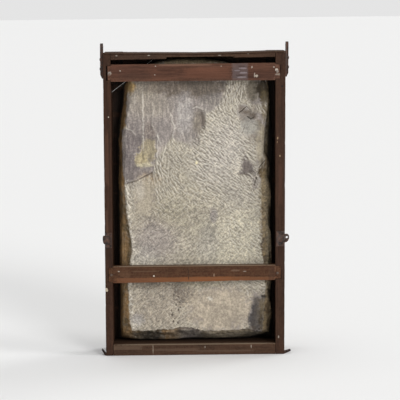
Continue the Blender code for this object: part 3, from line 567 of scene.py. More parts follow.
def drawn_line(x, z, line, wander):
    """A raised or sunk line, in metres: x and z of both ends, height or depth, half width."""
    x0, z0, x1, z1, height, half = metres(*line)
    along, beside = beside_line(x, z, x0, z0, x1, z1)
    return height * between_ends(along) * np.exp(-((beside + wander) / half) ** 2)


def beside_line(x, z, x0, z0, x1, z1):
    """How far places lie along a line, as a share, and how far beside it, in metres (above is positive)."""
    dx, dz = x1 - x0, z1 - z0
    size = math.hypot(dx, dz)
    along = ((x - x0) * dx + (z - z0) * dz) / size ** 2
    beside = ((z - z0) * dx - (x - x0) * dz) / size
    return along, beside


def between_ends(along):
    return smooth_step(-0.10, 0.10, along) * smooth_step(1.10, 0.90, along)


def past_rim(x, z, wander):
    """How far each place lies outside the flat part of the back, at the left, at the right and below. Places
    inside it have negative distances."""
    left = read_line(z, LEFT_RIM) - x + wander
    right = x - read_line(z, RIGHT_RIM) + wander
    below = read_line(x, BOTTOM_RIM) - z + wander
    return left, right, below


def ridge_lines(x, z, wander):
    """Height of the thin raised lines, in metres."""
    return sum(drawn_line(x, z, line, wander) for line in FINE_RIDGES)


def cracks_and_pits(x, z, wander):
    """Depth of cracks and pits, in metres."""
    depth = sum(drawn_line(x, z, line, wander) for line in CRACKS)
    for pit in PITS:
        px, pz, half, deep = metres(*pit)
        depth += deep * np.exp(-(((x - px) / half) ** 2 + ((z - pz) / (half * 1.2)) ** 2) ** 2)
    return depth


def steps_and_hollow(x, z, lumps):
    depth = np.zeros_like(x)
    for step in STEPS:
        x0, z0, x1, z1, drop = metres(*step)
        along, beside = beside_line(x, z, x0, z0, x1, z1)
        below = smooth_step(0.0015, -0.0025, beside + lumps * 0.003) * smooth_step(-0.060, -0.010, beside)
        depth += drop * between_ends(along) * below
    hx, hz, half_width, half_height, deep = metres(*HOLLOW)
    away = ((x - hx) / half_width) ** 2 + ((z - hz) / half_height) ** 2
    towards_right = 0.6 + 0.6 * smooth_step(-half_width, half_width, x - hx)
    return depth + deep * towards_right * smooth_step(1.15, 0.55, away + lumps * 0.3)


def broken_noise(places, seed):
    """Roughness at the three sizes of broken stone: lumps, crumbs and fine grains."""
    return rough(places, LUMP, 3), rough(places, CRUMB, 9), rough(places, GRAIN_SIZE, seed)


def ledge_noise(places):
    """Lumps that are drawn out sideways, like the layers of a break."""
    return rough(places * np.array([0.6, 1.0, 1.4]), 0.016, 31)


def crumbly_edge(left, z):
    """1 along the left edge of the tooled part, where the stone crumbles."""
    return smooth_step(-0.014, -0.004, left) * smooth_step(0.003, 0.0, left) * smooth_step(0.545, 0.525, z)


def carve_back(mesh):
    places, normals = corners(mesh)
    x, z = across_and_up(places)
    lumps, crumbs, fine = broken_noise(places, 5)
    flat = smooth_step(0.70, 0.92, -normals[:, 1])
    behind = smooth_step(-0.006, -0.030, places[:, 1])
    share = tooled(x, z, lumps * 0.006 + crumbs * 0.004)
    left, right, below = past_rim(x, z, crumbs * 0.003 + fine * 0.002)
    rim = np.clip(np.maximum(np.maximum(left, right), below), 0, 0.030)
    inside = smooth_step(0.004, 0.0, rim)
    depth = inside * share * STROKE_DEPTH * (read_map(GROOVES, x, z) - 0.8 * read_map(RIDGES, x, z))
    depth *= 1 + 0.4 * bold(x, z)
    depth += inside * (1 - share) * (0.00015 * fine + 0.0003 * crumbs)
    depth -= ridge_lines(x, z, crumbs * 0.003 + fine * 0.001) * np.clip(0.9 + fine + 0.6 * crumbs, 0.1, 1.3)
    depth += cracks_and_pits(x, z, crumbs * 0.0016) + steps_and_hollow(x, z, lumps)
    rugged = smooth_step(0.0, 0.004, np.maximum(right, below))
    depth += rugged * (LEDGE_DEPTH * ledge_noise(places) + 0.0012 * crumbs + 0.0012)
    depth = depth * flat + RIM_SLOPE * rim
    depth -= crumbly_edge(left, z) * CRUMB_HEIGHT * np.clip(0.5 * crumbs + 1.5 * fine, 0, 1)
    places[:, 1] += behind * depth
    broken = smooth_step(0.012, -0.002, places[:, 1]) * (1 - flat)
    rocky = 0.35 + 0.65 * smooth_step(-0.10, 0.0, x)
    places += normals * (broken * rocky * (0.0012 * crumbs + 0.0016 * lumps - 0.0008))[:, None]
    move_corners(mesh, places)


carve_back(slab)

# %% [markdown]
# ## The carved front
# The niche's half dome is a scallop shell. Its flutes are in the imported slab, but the skin has softened them,
# so they are cut a little deeper here, with crisp ridges between them. Thin lines follow the arch, the
# cornice and the sill, as a mason would run them with a small gouge.

# %% Front relief
SPRING = 0.590              # height where the arch begins
DOME_RADIUS = 0.118
FLUTES = 9
FLUTE_CUT = 0.0026
ARCH_LINES = (0.1365, 0.1535)
CORNICE_LINES = (0.7800, 0.7915)
CORNICE_HALF = 0.186
SILL_PANEL = (0.162, 0.1075, 0.0195)    # half width, middle and half height of a sunk border
LINE_HALF = 0.0016
LINE_DEPTH = 0.0015
NICHE_FLOOR = STONE_FRONT - 0.016       # the niche lies behind this, and all that stands out lies before it


def flutes(x, z):
    """How far out in the dome each place is, and how far from the ridges: 0 on a ridge, 1 between two."""
    reach = np.hypot(x, z - SPRING) / DOME_RADIUS
    angle = np.arctan2(z - SPRING, x)
    inside = smooth_step(0.10, 0.35, reach) * smooth_step(1.0, 0.94, reach)
    return inside * smooth_step(SPRING, SPRING + 0.006, z), np.abs(np.sin(FLUTES * angle))


def front_lines(x, z):
    """1 in the middle of the thin lines, 0 beside them."""
    out = np.hypot(x, z - SPRING)
    lines = sum(np.exp(-((out - radius) / LINE_HALF) ** 2) for radius in ARCH_LINES) * (z > SPRING)
    level = sum(np.exp(-((z - height) / LINE_HALF) ** 2) for height in CORNICE_LINES)
    half_width, middle, half_height = SILL_PANEL
    border = np.maximum(np.abs(x) - half_width, np.abs(z - middle) - half_height)
    return lines + level * (np.abs(x) < CORNICE_HALF) + np.exp(-(border / LINE_HALF) ** 2)


def carve_front(mesh):
    places, normals = corners(mesh)
    x, z = across_and_up(places)
    forward = smooth_step(0.4, 0.8, normals[:, 1])
    raised = forward * smooth_step(NICHE_FLOOR + 0.004, NICHE_FLOOR + 0.008, places[:, 1])
    inside, between = flutes(x, z)
    recess = smooth_step(NICHE_FLOOR + 0.002, NICHE_FLOOR - 0.002, places[:, 1])
    recess = recess * smooth_step(0.0, 0.2, normals[:, 1])
    places[:, 1] -= raised * LINE_DEPTH * front_lines(x, z) + recess * inside * FLUTE_CUT * (between - 0.45)
    move_corners(mesh, places)


carve_front(slab)

# %% [markdown]
# ## Fewer faces where it is flat
# The skin is as dense on the plain margins as on the chisel marks. Decimating melts faces that add nothing,
# so the slab keeps its relief with under 200,000 triangles.

# %% Decimated slab
SLAB_TRIANGLES = 190000


def decimated(mesh, wanted):
    draft = placed("decimate_draft", mesh)
    fewer = draft.modifiers.new("fewer", "DECIMATE")
    fewer.ratio = wanted / (2 * len(mesh.polygons))
    fewer.use_collapse_triangulate = True
    made = modified_mesh(draft)
    print("the slab keeps", len(made.polygons), "triangles")
    return made


if 2 * len(slab.polygons) > SLAB_TRIANGLES:
    slab = decimated(slab, SLAB_TRIANGLES)

# %% [markdown]
# ## Where the stone is worn, dirty or stained, and where shade is painted on it
# A material can't know where the mason left the quarry face, where dirt gathered and where shade falls. So the
# script works out a few numbers for each corner: a stain colour, with painted shade on the slab's sides in the
# box, under its broken foot and on its crown, whether it is chiselled or quarry face, how bruised the stone is,
# and how deep in a crevice it lies, which darkens it with dirt and painted shade.

# %% Stains
FRONT_HALF = 0.215          # half width of the carved front
NICHE_BACK = -0.030         # nothing of the front lies deeper
# Above this height the crown sits in the gap under the top rail and is painted dark as shade.
CROWN = 0.870               # the slab's top is dull above this height
FINE_ROUNDS, WIDE_ROUNDS = 3, 24        # rounds of averaging that find small hollows and wide ones
COLOUR_OLD_FACE = (154, 145, 140)
COLOUR_TOOLED = (176, 167, 152)
# Soft patches: x, z, half width, half height, strength, softness of the edge, colour
STAINS_AND_SHADE = (
    # broad drifts of tone on the chiselled part
    (95, 600, 110, 150, 0.7, 0.5, (194, 186, 173)), (130, 340, 110, 110, 0.9, 0.5, (196, 188, 169)),
    (-110, 140, 85, 75, 0.6, 0.5, (154, 142, 128)), (-120, 400, 70, 80, 0.7, 0.6, (150, 140, 125)),
    (-120, 350, 60, 60, 0.6, 0.5, (160, 150, 147)), (-10, 480, 110, 90, 0.5, 0.5, (170, 161, 142)),
    (-60, 600, 50, 45, 0.5, 0.5, (160, 152, 138)), (-140, 770, 70, 50, 0.5, 0.5, (163, 153, 138)),
    (-150, 812, 70, 28, 0.6, 0.5, (142, 133, 118)),
    # the dark band under the upper batten, and the top corners
    (6, 809, 98, 29, 0.92, 0.3, (102, 92, 82)), (-90, 815, 60, 22, 0.6, 0.4, (116, 104, 94)),
    (-190, 815, 13, 20, 0.9, 0.3, (158, 130, 84)), (168, 800, 36, 34, 0.8, 0.4, (140, 131, 116)),
    (173, 804, 15, 38, 0.9, 0.4, (102, 94, 82)), (203, 806, 20, 32, 1, 0.3, (50, 41, 28)),
    (208, 778, 10, 24, 0.9, 0.3, (88, 76, 54)),
    # the quarry face at the left, its yellow patch and the step below it
    (-185, 610, 30, 88, 0.9, 0.3, (122, 113, 111)), (-170, 545, 45, 18, 0.8, 0.3, (126, 117, 113)),
    (-134, 675, 18, 34, 0.7, 0.5, (122, 110, 103)), (-139, 622, 23, 34, 0.9, 0.15, (166, 154, 129)),
    (-161, 595, 19, 22, 0.9, 0.2, (170, 157, 126)), (-152, 578, 28, 6, 0.8, 0.3, (196, 186, 160)),
    (-140, 532, 30, 20, 0.6, 0.6, (176, 152, 122)), (-151, 484, 34, 54, 0.9, 0.2, (176, 165, 147)),
    (-165, 505, 12, 30, 0.5, 0.5, (196, 188, 176)),
    # the pale middle of the quarry face and the hollow beside it
    (-29, 730, 26, 58, 0.8, 0.5, (174, 167, 163)), (58, 775, 36, 18, 0.8, 0.3, (122, 115, 110)),
    (10, 704, 15, 38, 0.95, 0.4, (132, 123, 113)), (21.5, 724, 6, 14, 0.8, 0.4, (100, 90, 84)),
    (26.5, 704, 6, 18, 0.8, 0.5, (98, 88, 82)), (6, 650, 10, 24, 0.7, 0.4, (124, 116, 110)),
    (-8, 655, 22, 24, 0.6, 0.4, (138, 130, 126)),
    # broken and bruised places at the upper right
    (141, 744, 10, 12, 0.9, 0.3, (116, 105, 96)), (158, 734, 14, 7, 0.9, 0.4, (106, 95, 84)),
    (150, 716, 16, 10, 0.7, 0.4, (132, 122, 112)), (176, 722, 12, 10, 0.9, 0.3, (98, 86, 76)),
    (184, 745, 18, 14, 0.7, 0.4, (150, 140, 126)), (192, 702, 10, 12, 0.8, 0.3, (126, 114, 98)),
    (208, 735, 8, 26, 0.8, 0.4, (112, 98, 76)), (206, 670, 10, 26, 0.7, 0.4, (146, 134, 112)),
    (163, 690, 28, 26, 0.8, 0.3, (160, 156, 148)), (178, 655, 20, 14, 0.7, 0.4, (138, 128, 116)),
    (201, 630, 18, 62, 0.7, 0.4, (160, 149, 128)),
    # the purple wedge and the edge beside it
    (204, 578, 5, 18, 0.8, 0.4, (84, 70, 50)), (212, 615, 4, 26, 0.7, 0.4, (104, 90, 66)),
    (152, 592, 8, 14, 0.9, 0.3, (112, 103, 99)), (157, 572, 18, 17, 1, 0.3, (112, 103, 99)),
    (162, 553, 26, 12, 1, 0.3, (114, 105, 100)), (182, 522, 9, 24, 0.8, 0.4, (116, 106, 104)),
    (205, 550, 14, 18, 1, 0.3, (92, 76, 52)), (210, 485, 16, 44, 0.8, 0.4, (138, 124, 98)),
    # fainter drifts
    (100, 640, 50, 60, 0.5, 0.6, (200, 192, 186)), (60, 560, 60, 50, 0.4, 0.6, (192, 184, 178)),
    (-60, 440, 50, 40, 0.5, 0.6, (164, 156, 136)), (20, 380, 50, 40, 0.4, 0.6, (160, 152, 134)),
    (120, 480, 50, 40, 0.4, 0.6, (162, 155, 146)), (-150, 300, 30, 30, 0.5, 0.6, (184, 177, 170)),
    (100, 300, 70, 30, 0.5, 0.6, (196, 188, 168)), (-20, 280, 30, 30, 0.5, 0.6, (162, 154, 138)),
    # a lilac spot, and the right edge lower down
    (57, 425, 12, 24, 0.7, 0.4, (128, 121, 122)), (40, 340, 30, 60, 0.4, 0.5, (156, 151, 146)),
    (209, 324, 10, 24, 1, 0.3, (84, 66, 44)), (206, 385, 10, 50, 0.8, 0.5, (112, 94, 68)),
    (204, 440, 6, 18, 0.8, 0.4, (120, 102, 76)), (212, 298, 6, 7, 0.9, 0.3, (176, 148, 96)),
    (221, 285, 7, 12, 0.8, 0.3, (66, 66, 46)),
    # below the lower batten, with the dark break at its right
    (-174, 104, 18, 18, 0.4, 0.5, (164, 162, 168)), (-34, 182, 36, 36, 0.8, 0.4, (122, 111, 100)),
    (75, 136, 100, 70, 0.9, 0.25, (184, 171, 152)), (10, 215, 70, 16, 0.6, 0.5, (150, 142, 122)),
    (-120, 212, 85, 14, 0.7, 0.5, (132, 121, 106)), (174, 102, 12, 24, 1, 0.3, (80, 76, 76)),
    (182, 134, 11, 22, 1, 0.3, (78, 74, 74)), (187, 158, 10, 14, 0.9, 0.3, (92, 86, 82)),
    (194, 118, 12, 36, 0.9, 0.4, (96, 88, 80)), (186, 82, 16, 20, 0.9, 0.4, (84, 78, 74)),
    (170, 72, 16, 8, 0.8, 0.3, (88, 78, 70)), (204, 148, 10, 22, 0.8, 0.4, (118, 106, 88)),
    (214, 120, 18, 62, 0.9, 0.4, (100, 87, 66)), (206, 92, 12, 16, 0.8, 0.4, (64, 54, 42)),
    (212, 173, 12, 6, 1, 0.3, (30, 25, 18)),
    # pale chips, the crown painted dark as shade in the gap under the top rail, and a knocked corner
    (45.5, 168, 4, 4, 1, 0.3, (226, 220, 206)), (5.7, 585, 4.2, 5.2, 1, 0.2, (238, 224, 180)),
    (0, 905, 250, 30, 1, 0.2, (112, 99, 78)), (-212, 697, 7, 7, 1, 0.3, (176, 146, 104)),
    (-206.5, 692.5, 4, 3, 0.9, 0.3, (226, 214, 196)), (-148, 290, 50, 12, 0.4, 0.5, (188, 182, 170)),
)
COLOUR_LEFT_RIM = (160, 129, 90)
COLOUR_LEFT_SHADE = (92, 80, 56)
COLOUR_RIGHT_RIM = (140, 122, 92)
COLOUR_KNOB = (74, 56, 36)
# Colours along the broken bottom edge, from left to right. Its darkest tones are partly painted shade, where
# the break faces down.
FOOT = (
    (-200, (128, 102, 68)), (-172, (92, 74, 48)), (-155, (52, 43, 28)), (-110, (50, 41, 28)),
    (-88, (136, 106, 70)), (-58, (120, 98, 72)), (-40, (110, 100, 94)), (-5, (116, 107, 104)),
    (22, (88, 78, 68)), (50, (150, 137, 116)), (150, (134, 121, 101)), (185, (80, 72, 62)),
    (205, (108, 96, 76)),
)
# Near black: painted shade with some grime, on the slab's sides in the box and on its broken foot
COLOUR_SHADE_AND_GRIME = (26, 21, 16)
COLOUR_CRACK = (52, 44, 38)
COLOUR_FRONT = (196, 188, 172)
COLOUR_GROUND = (156, 146, 128)


def blend(colours, share, colour):
    """Lays a colour over others, by a share for each corner."""
    return colours + share[:, None] * (np.array(srgb(*colour)[:3])[None, :] - colours)


def hollowness(mesh, rounds):
    """How far each corner lies below its surroundings, in metres, from corners averaged with neighbours."""
    places, normals = corners(mesh)
    edges = np.empty(len(mesh.edges) * 2, dtype=np.int32)
    mesh.edges.foreach_get("vertices", edges)
    first, second = edges.reshape(-1, 2).T
    count = np.bincount(first, minlength=len(places)) + np.bincount(second, minlength=len(places))
    smoothed = places.copy()
    for _ in range(rounds):
        total = np.zeros_like(smoothed)
        for axis in range(3):
            total[:, axis] = (np.bincount(first, smoothed[second, axis], len(places))
                              + np.bincount(second, smoothed[first, axis], len(places)))
        smoothed = 0.5 * smoothed + 0.5 * total / np.maximum(count, 1)[:, None]
    return ((smoothed - places) * normals).sum(axis=1)


def back_colours(x, z, share, crumbs, fine):
    colours = np.repeat(np.array(srgb(*COLOUR_OLD_FACE)[:3])[None, :], len(x), axis=0)
    colours = blend(colours, share, COLOUR_TOOLED)
    for *place, strength, softness, colour in STAINS_AND_SHADE:
        sx, sz, half_width, half_height = metres(*place)
        away = np.hypot((x - sx) / half_width, (z - sz) / half_height) + 0.30 * crumbs + 0.34 * fine
        colours = blend(colours, strength * smooth_step(1 + softness, 1 - softness, away), colour)
    return colours


def rim_colours(colours, x, z, rims, ledges, lumps, crumbs, fine):
    left, right, below = (smooth_step(0.0, 0.003, rim) for rim in rims)
    colours = blend(colours, left, COLOUR_LEFT_RIM)
    shade = smooth_step(0.24, 0.30, z) * smooth_step(0.50, 0.38, z) * smooth_step(0.012, 0.004, rims[0])
    colours = blend(colours, 0.9 * left * shade, COLOUR_LEFT_SHADE)
    colours = blend(colours, 0.7 * left * smooth_step(0.1, 0.5, lumps + 0.4 * crumbs), COLOUR_LEFT_SHADE)
    colours = blend(colours, right * (0.75 + 0.25 * crumbs), COLOUR_RIGHT_RIM)
    colours = blend(colours, 0.7 * right * smooth_step(0.10, 0.45, lumps + 0.6 * crumbs), COLOUR_KNOB)
    ragged = below * np.clip(0.9 + 0.5 * crumbs, 0, 1)
    tones = np.array([srgb(*tone)[:3] for _, tone in FOOT])
    across = metres(*(place for place, _ in FOOT))
    foot = np.stack([np.interp(x + crumbs * 0.012, across, tone) for tone in tones.T], axis=1)
    colours = colours + ragged[:, None] * (foot - colours)
    # Painted shade with some grime in the deep ledges of the broken foot and under it, where the break faces
    # down.
    deep = smooth_step(0.05, 0.35, ledges) * smooth_step(-0.185, -0.165, x) * smooth_step(-0.09, -0.11, x)
    under = below * smooth_step(0.008, 0.012, rims[2])
    return blend(colours, np.clip(0.7 * below * deep + 0.5 * under, 0, 0.8), COLOUR_SHADE_AND_GRIME)


def front_colours(colours, x, places, normals):
    """Painted shade with some grime on the slab's sides deep in the box, then the front's own tone, darker on
    its sunk ground.
    """
    y = places[:, 1]
    # The slab's sides deep in the box: painted shade with some grime, near black.
    colours = blend(colours, smooth_step(-0.001, 0.006, y) * smooth_step(0.040, 0.030, y), COLOUR_SHADE_AND_GRIME)
    carved = smooth_step(0.1, 0.4, normals[:, 1]) * smooth_step(NICHE_BACK, NICHE_BACK + 0.006, y)
    front = np.maximum(smooth_step(0.034, 0.038, y), carved * (np.abs(x) < FRONT_HALF))
    colours = blend(colours, front, COLOUR_FRONT)
    sunk = front * smooth_step(STONE_FRONT - 0.008, STONE_FRONT - 0.015, y)
    return blend(colours, 0.5 * sunk, COLOUR_GROUND)


def stain_and_shade_slab(mesh):
    places, normals = corners(mesh)
    x, z = across_and_up(places)
    lumps, crumbs, fine = broken_noise(places, 21)
    share = tooled(x, z, lumps * 0.006 + crumbs * 0.004)
    rims = past_rim(x, z, crumbs * 0.003 + fine * 0.002)
    left, right, below = rims
    colours = back_colours(x, z, share, crumbs, fine)
    colours = rim_colours(colours, x, z, rims, ledge_noise(places), lumps, crumbs, fine)
    open_cracks = smooth_step(0.0006, 0.0020, cracks_and_pits(x, z, crumbs * 0.0016)) * (places[:, 1] < 0)
    colours = blend(colours, 0.85 * open_cracks, COLOUR_CRACK)
    colours = front_colours(colours, x, places, normals)
    layer = mesh.color_attributes.new("stain_and_shade", "FLOAT_COLOR", "POINT")
    layer.data.foreach_set("color", np.insert(colours, 3, 1.0, axis=1).astype(np.float32).ravel())

    # Crevices get dirt and painted shade: small and wide hollows, chisel grooves, the front's lines and the
    # troughs between the shell's flutes.
    hollow, wide = hollowness(mesh, FINE_ROUNDS), hollowness(mesh, WIDE_ROUNDS)
    back = (1 - smooth_step(-0.012, -0.004, places[:, 1])) * smooth_step(0.3, 0.0, normals[:, 1])
    cut = share * read_map(GROOVES, x, z) * back * (1 + 0.4 * bold(x, z))
    crevice = np.clip(hollow / 0.0007, 0, 1) * 0.4 + np.clip(wide / 0.0022, 0, 1) * 0.4 + 0.5 * cut
    faces_front = smooth_step(0.0, 0.3, normals[:, 1])
    inside, between = flutes(x, z)
    shell = faces_front * inside * (places[:, 1] < NICHE_FLOOR)
    crevice += 0.5 * faces_front * np.clip(front_lines(x, z), 0, 1) + 0.45 * shell * between ** 3
    set_values(mesh, "crevice", np.clip(crevice, 0, 1))

    lines = ridge_lines(x, z, crumbs * 0.003 + fine * 0.001) * np.clip(0.75 + fine + 0.6 * crumbs, 0.1, 1)
    bruise = back * (share * read_map(RIDGES, x, z) * (1 + 0.5 * bold(x, z)) + 400 * lines)
    bruise += back * crumbly_edge(left, z) * smooth_step(0.0, 0.35, 0.5 * crumbs + fine)
    bruise += np.clip(-hollow / 0.0009 - 0.2, 0, 1) * 0.4 + 0.5 * shell * (1 - between) ** 3
    # The right and bottom rims get little bruise, so they stay dark as painted shade.
    bruise *= 1 - 0.8 * smooth_step(-0.003, 0.003, np.maximum(right, below))
    # The crown under the top rail gets no bruise, so it stays dark as painted shade.
    bruise *= 1 - 0.9 * smooth_step(CROWN, CROWN + 0.012, z)
    set_values(mesh, "bruise", np.clip(bruise, 0, 1))
    set_values(mesh, "tooled", back * share * (1 - smooth_step(0.0, 0.003, np.maximum(left, below))))
    set_values(mesh, "quarry", back * (1 - share) * smooth_step(0.12, 0.08, x) * smooth_step(0.50, 0.56, z))
    print("stain colours set on", len(places), "corners")


stain_and_shade_slab(slab)

# %% [markdown]
# ## The marble's finish
# Old marble is matt and slightly crystalline. Its colour here is the stain colour, with its painted shade,
# broken up by mottling at several scales, by fine strokes where it is chiselled, and by upright streaks on the
# quarry face. Hollows are darkened by dirt and by painted shade, and places where a blow crushed the crystals
# are nearly white.

# %% Mottle and streak groups
def mottle_group():
    """Two scales of noise as a share from 0 to 1, and the fine one alone for bump."""
    tree, given, out = group("mottle", {"Vector": None, "Coarse": 60.0, "Fine": 400.0, "Balance": 0.5},
                             ("Mix", "Grit"))
    coarse = noise_node(tree, given["Vector"], given["Coarse"], 4.0, 0.6)
    fine = noise_node(tree, given["Vector"], given["Fine"], 3.0, 0.7)
    put(tree, out["Mix"], fit(tree, mix_values(tree, given["Balance"], coarse, fine), 0.34, 0.66))
    put(tree, out["Grit"], fine)
    return tree


def streak_group():
    """Noise drawn out along one direction: the vector is turned about Y and stretched."""
    tree, given, out = group("streaks", {"Vector": None, "Turn": None, "Density": None}, ("Mask", "Height"))
    turned = node(tree, "ShaderNodeVectorRotate", rotation_type="EULER_XYZ")
    put(tree, turned.inputs["Vector"], given["Vector"])
    put(tree, turned.inputs["Rotation"], given["Turn"])
    scaled = vector_math(tree, "MULTIPLY", turned.outputs[0], given["Density"])
    lines = noise_node(tree, scaled, 1.0, 4.0, 0.6, 0.5)
    put(tree, out["Mask"], fit(tree, lines, 0.36, 0.64))
    put(tree, out["Height"], lines)
    return tree


MOTTLE = mottle_group()
STREAKS = streak_group()


# %% Marble
COLOUR_BRUISE = (234, 227, 214)
# The dark tone of dirt and painted shade in crevices
COLOUR_DIRT_AND_SHADE = (96, 85, 72)
BRUISE_SHARE = 0.62
DIRT_AND_SHADE_SHARE = 0.62
STROKE_TURN = math.radians(40)


def toned(tree, colour, share, mask, dark, light):
    """Darkens a colour where the share is low and lightens it where it is high, within a mask."""
    low = mix_colour(tree, 1.0, colour, (dark, dark, dark * 1.01, 1), "MULTIPLY")
    high = mix_colour(tree, 1.0, colour, (light, light, light * 0.985, 1), "MULTIPLY")
    return mix_colour(tree, mask, colour, mix_colour(tree, share, low, high))


def marble_finish():
    finish, tree, shader = material("marble", 0.72)
    shader["Specular IOR Level"].default_value = 0.3
    place = object_place(tree)
    is_tooled = attribute(tree, "tooled")
    quarry = attribute(tree, "quarry")
    broad = use(tree, MOTTLE, Vector=place, Coarse=24.0, Fine=95.0, Balance=0.45)
    grainy = use(tree, MOTTLE, Vector=place, Coarse=190.0, Fine=520.0, Balance=0.5)
    strokes = use(tree, STREAKS, Vector=place, Turn=(0, STROKE_TURN, 0), Density=(75.0, 200.0, 330.0))
    upright = use(tree, STREAKS, Vector=place, Turn=(0, 0.04, 0), Density=(140.0, 60.0, 34.0))
    colour = toned(tree, attribute(tree, "stain_and_shade", "Color"), broad["Mix"], 1.0, 0.78, 1.16)
    colour = toned(tree, colour, grainy["Mix"], 1.0, 0.72, 1.24)
    colour = toned(tree, colour, strokes["Mask"], is_tooled, 0.68, 1.28)
    patchy = math_node(tree, "MULTIPLY_ADD", broad["Mix"], 0.9, 0.35, clamp=True)
    colour = toned(tree, colour, upright["Mask"], times(tree, quarry, patchy), 0.74, 1.26)
    bruise = times(tree, attribute(tree, "bruise"), BRUISE_SHARE)
    colour = mix_colour(tree, bruise, colour, srgb(*COLOUR_BRUISE))
    # Dirt and painted shade darken the crevices.
    dirt_and_shade = times(tree, attribute(tree, "crevice"), DIRT_AND_SHADE_SHARE, clamp=True)
    colour = mix_colour(tree, dirt_and_shade, colour, srgb(*COLOUR_DIRT_AND_SHADE))
    put(tree, shader["Base Color"], colour)
    put(tree, shader["Roughness"], fit(tree, grainy["Grit"], 0.3, 0.7, 0.66, 0.88))
    height = math_node(tree, "ADD", times(tree, strokes["Height"], is_tooled), grainy["Grit"])
    add_bump(tree, shader, height, 0.7, 0.0014)
    return finish


def add_slab(mesh):
    mesh.name = "marble_slab"
    mesh.materials.clear()
    mesh.materials.append(marble_finish())
    mesh.shade_smooth()
    piece = placed("marble_slab", mesh)
    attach(piece, "root")
    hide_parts("niche_stone")


add_slab(slab)

# %% [markdown]
# ## Timber
# Old planed boards aren't flat: they have soft arrises, nicks and slow waves. Each board starts as a copy of
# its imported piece. Its arrises are bevelled, then it is cut across into short lengths so that there are
# corners to move, and noise pushes them in. Nothing moves outwards, so the joints stay clear. Normals that
# are weighted by face area keep the broad faces flat in the light, right up to their rounded arrises.

# %% Boards
BOARDS = {                  # board: the wood that it is made of
    "stile_left": "stile", "stile_right": "stile", "face_left": "stile", "face_right": "stile",
    "bottom_rail": "rail", "top_rail": "top", "top_cap": "top", "face_sill": "rail", "face_head": "rail",
    "batten_upper": "batten_upper", "batten_lower": "batten_lower",
}
ARRIS = 0.0011
SHARP, KEEN = math.radians(30), math.radians(60)
LONG_EDGE = 0.006           # shorter edges, as round the screw holes, stay sharp
BOARD_STEP = 0.007
WAVE_DEPTH = 0.00025
NICK_DEPTH = 0.0011
WAVES, NICKS = 9, 55        # how many to a metre
TENON = 0.0016              # the front rails run this far into the front stiles, which closes their joints
RAIL_END = 0.006            # what lies this close to a rail's ends moves with them
SIDE_SLACK = 0.004          # the stiles lean, so their inner sides aren't all at one x
INNER_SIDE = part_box("stile_right")[0].x
FACE_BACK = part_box("face_left")[0].y
CAP_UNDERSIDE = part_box("top_cap")[0].z


def soft_arrises(bm, width, shortest=LONG_EDGE):
    sharp = [edge for edge in bm.edges
             if edge.is_manifold and edge.calc_length() > shortest and edge.calc_face_angle() > SHARP]
    bmesh.ops.bevel(bm, geom=sharp, offset=width, segments=2, profile=0.5, affect="EDGES",
                    clamp_overlap=True, material=-1)


def cut_across(bm, axis, step):
    """Cuts a board into short lengths across its grain."""
    values = [vert.co[axis] for vert in bm.verts]
    low, high = min(values), max(values)
    count = max(1, round((high - low) / step))
    direction = Vector((0, 0, 0))
    direction[axis] = 1
    for number in range(1, count):
        point = direction * (low + (high - low) * number / count)
        geom = bm.verts[:] + bm.edges[:] + bm.faces[:]
        bmesh.ops.bisect_plane(bm, geom=geom, dist=1e-6, plane_co=point, plane_no=direction)


def convexity(bm):
    """For each corner, how sharply the surface turns outwards there: 0 flat, 1 from KEEN on."""
    values = []
    for vert in bm.verts:
        turns = [edge.calc_face_angle_signed(0.0) for edge in vert.link_edges]
        values.append(min(1.0, max(0.0, max(turns)) / KEEN))
    return values


def lengthen(bm, extra):
    """Makes a rail a little longer at both ends, so that its joints are closed."""
    places = [vert.co.x for vert in bm.verts]
    middle = (min(places) + max(places)) / 2
    half = (max(places) - min(places)) / 2
    for vert in bm.verts:
        if abs(vert.co.x - middle) > half - RAIL_END:
            vert.co.x += math.copysign(extra, vert.co.x - middle)


def inner_shade(place):
    """1 deep in the box round the slab, where the wood is painted near black as shade, and 0 at the back and
    outside.
    """
    inside = abs(straight(place.x, place.z)) < INNER_SIDE + SIDE_SLACK and place.y < FACE_BACK + 0.0005
    inside = inside and place.z < CAP_UNDERSIDE + 0.001
    return float(inside) * float(smooth_step(BACK + 0.002, BACK + 0.022, place.y))


def board(name, axis, finish):
    bm = merged_copy(name)
    soft_arrises(bm, ARRIS)
    if name in ("face_sill", "face_head"):
        lengthen(bm, TENON)
    cut_across(bm, axis, BOARD_STEP)
    bm.normal_update()
    bm.verts.ensure_lookup_table()
    worn = convexity(bm)
    seed = Vector((len(name) * 3.1, 0, 0))      # each board gets its own wear
    for vert, wear in zip(bm.verts, worn):
        slow = noise.noise(vert.co * WAVES + seed)
        nick = max(0.0, noise.noise(vert.co * NICKS + seed) - 0.18) * 3.0
        vert.co -= vert.normal * (WAVE_DEPTH * (1 + slow) + NICK_DEPTH * wear * nick)
    # Deep in the box round the slab the boards get painted shade; the battens don't.
    dark = [0.0 if "batten" in name else inner_shade(vert.co) for vert in bm.verts]
    piece = add_piece(f"{name}_board", bm, finish, [name])
    set_values(piece.data, "wear", worn)
    set_values(piece.data, "inner_shade", dark)
    piece.modifiers.new("even_shading", "WEIGHTED_NORMAL")
    return piece


# %% [markdown]
# ## The wood's finish
# The wood is dark, with a worn reddish-brown stain. Its grain is noise drawn out along the board: the
# coordinates are scaled so that one axis changes slowly. Arrises are rubbed lighter, and grime lies in
# patches. Deep in the box round the slab the wood is painted near black, as painted shade. One function
# makes all the woods, with the grain's axis and its own tones. Flecks of paint, a bleached patch, scratches
# and painted highlights along the top edges of the lower batten and the bottom rail are soft spots of colour,
# each with a place, a size and a ragged edge.

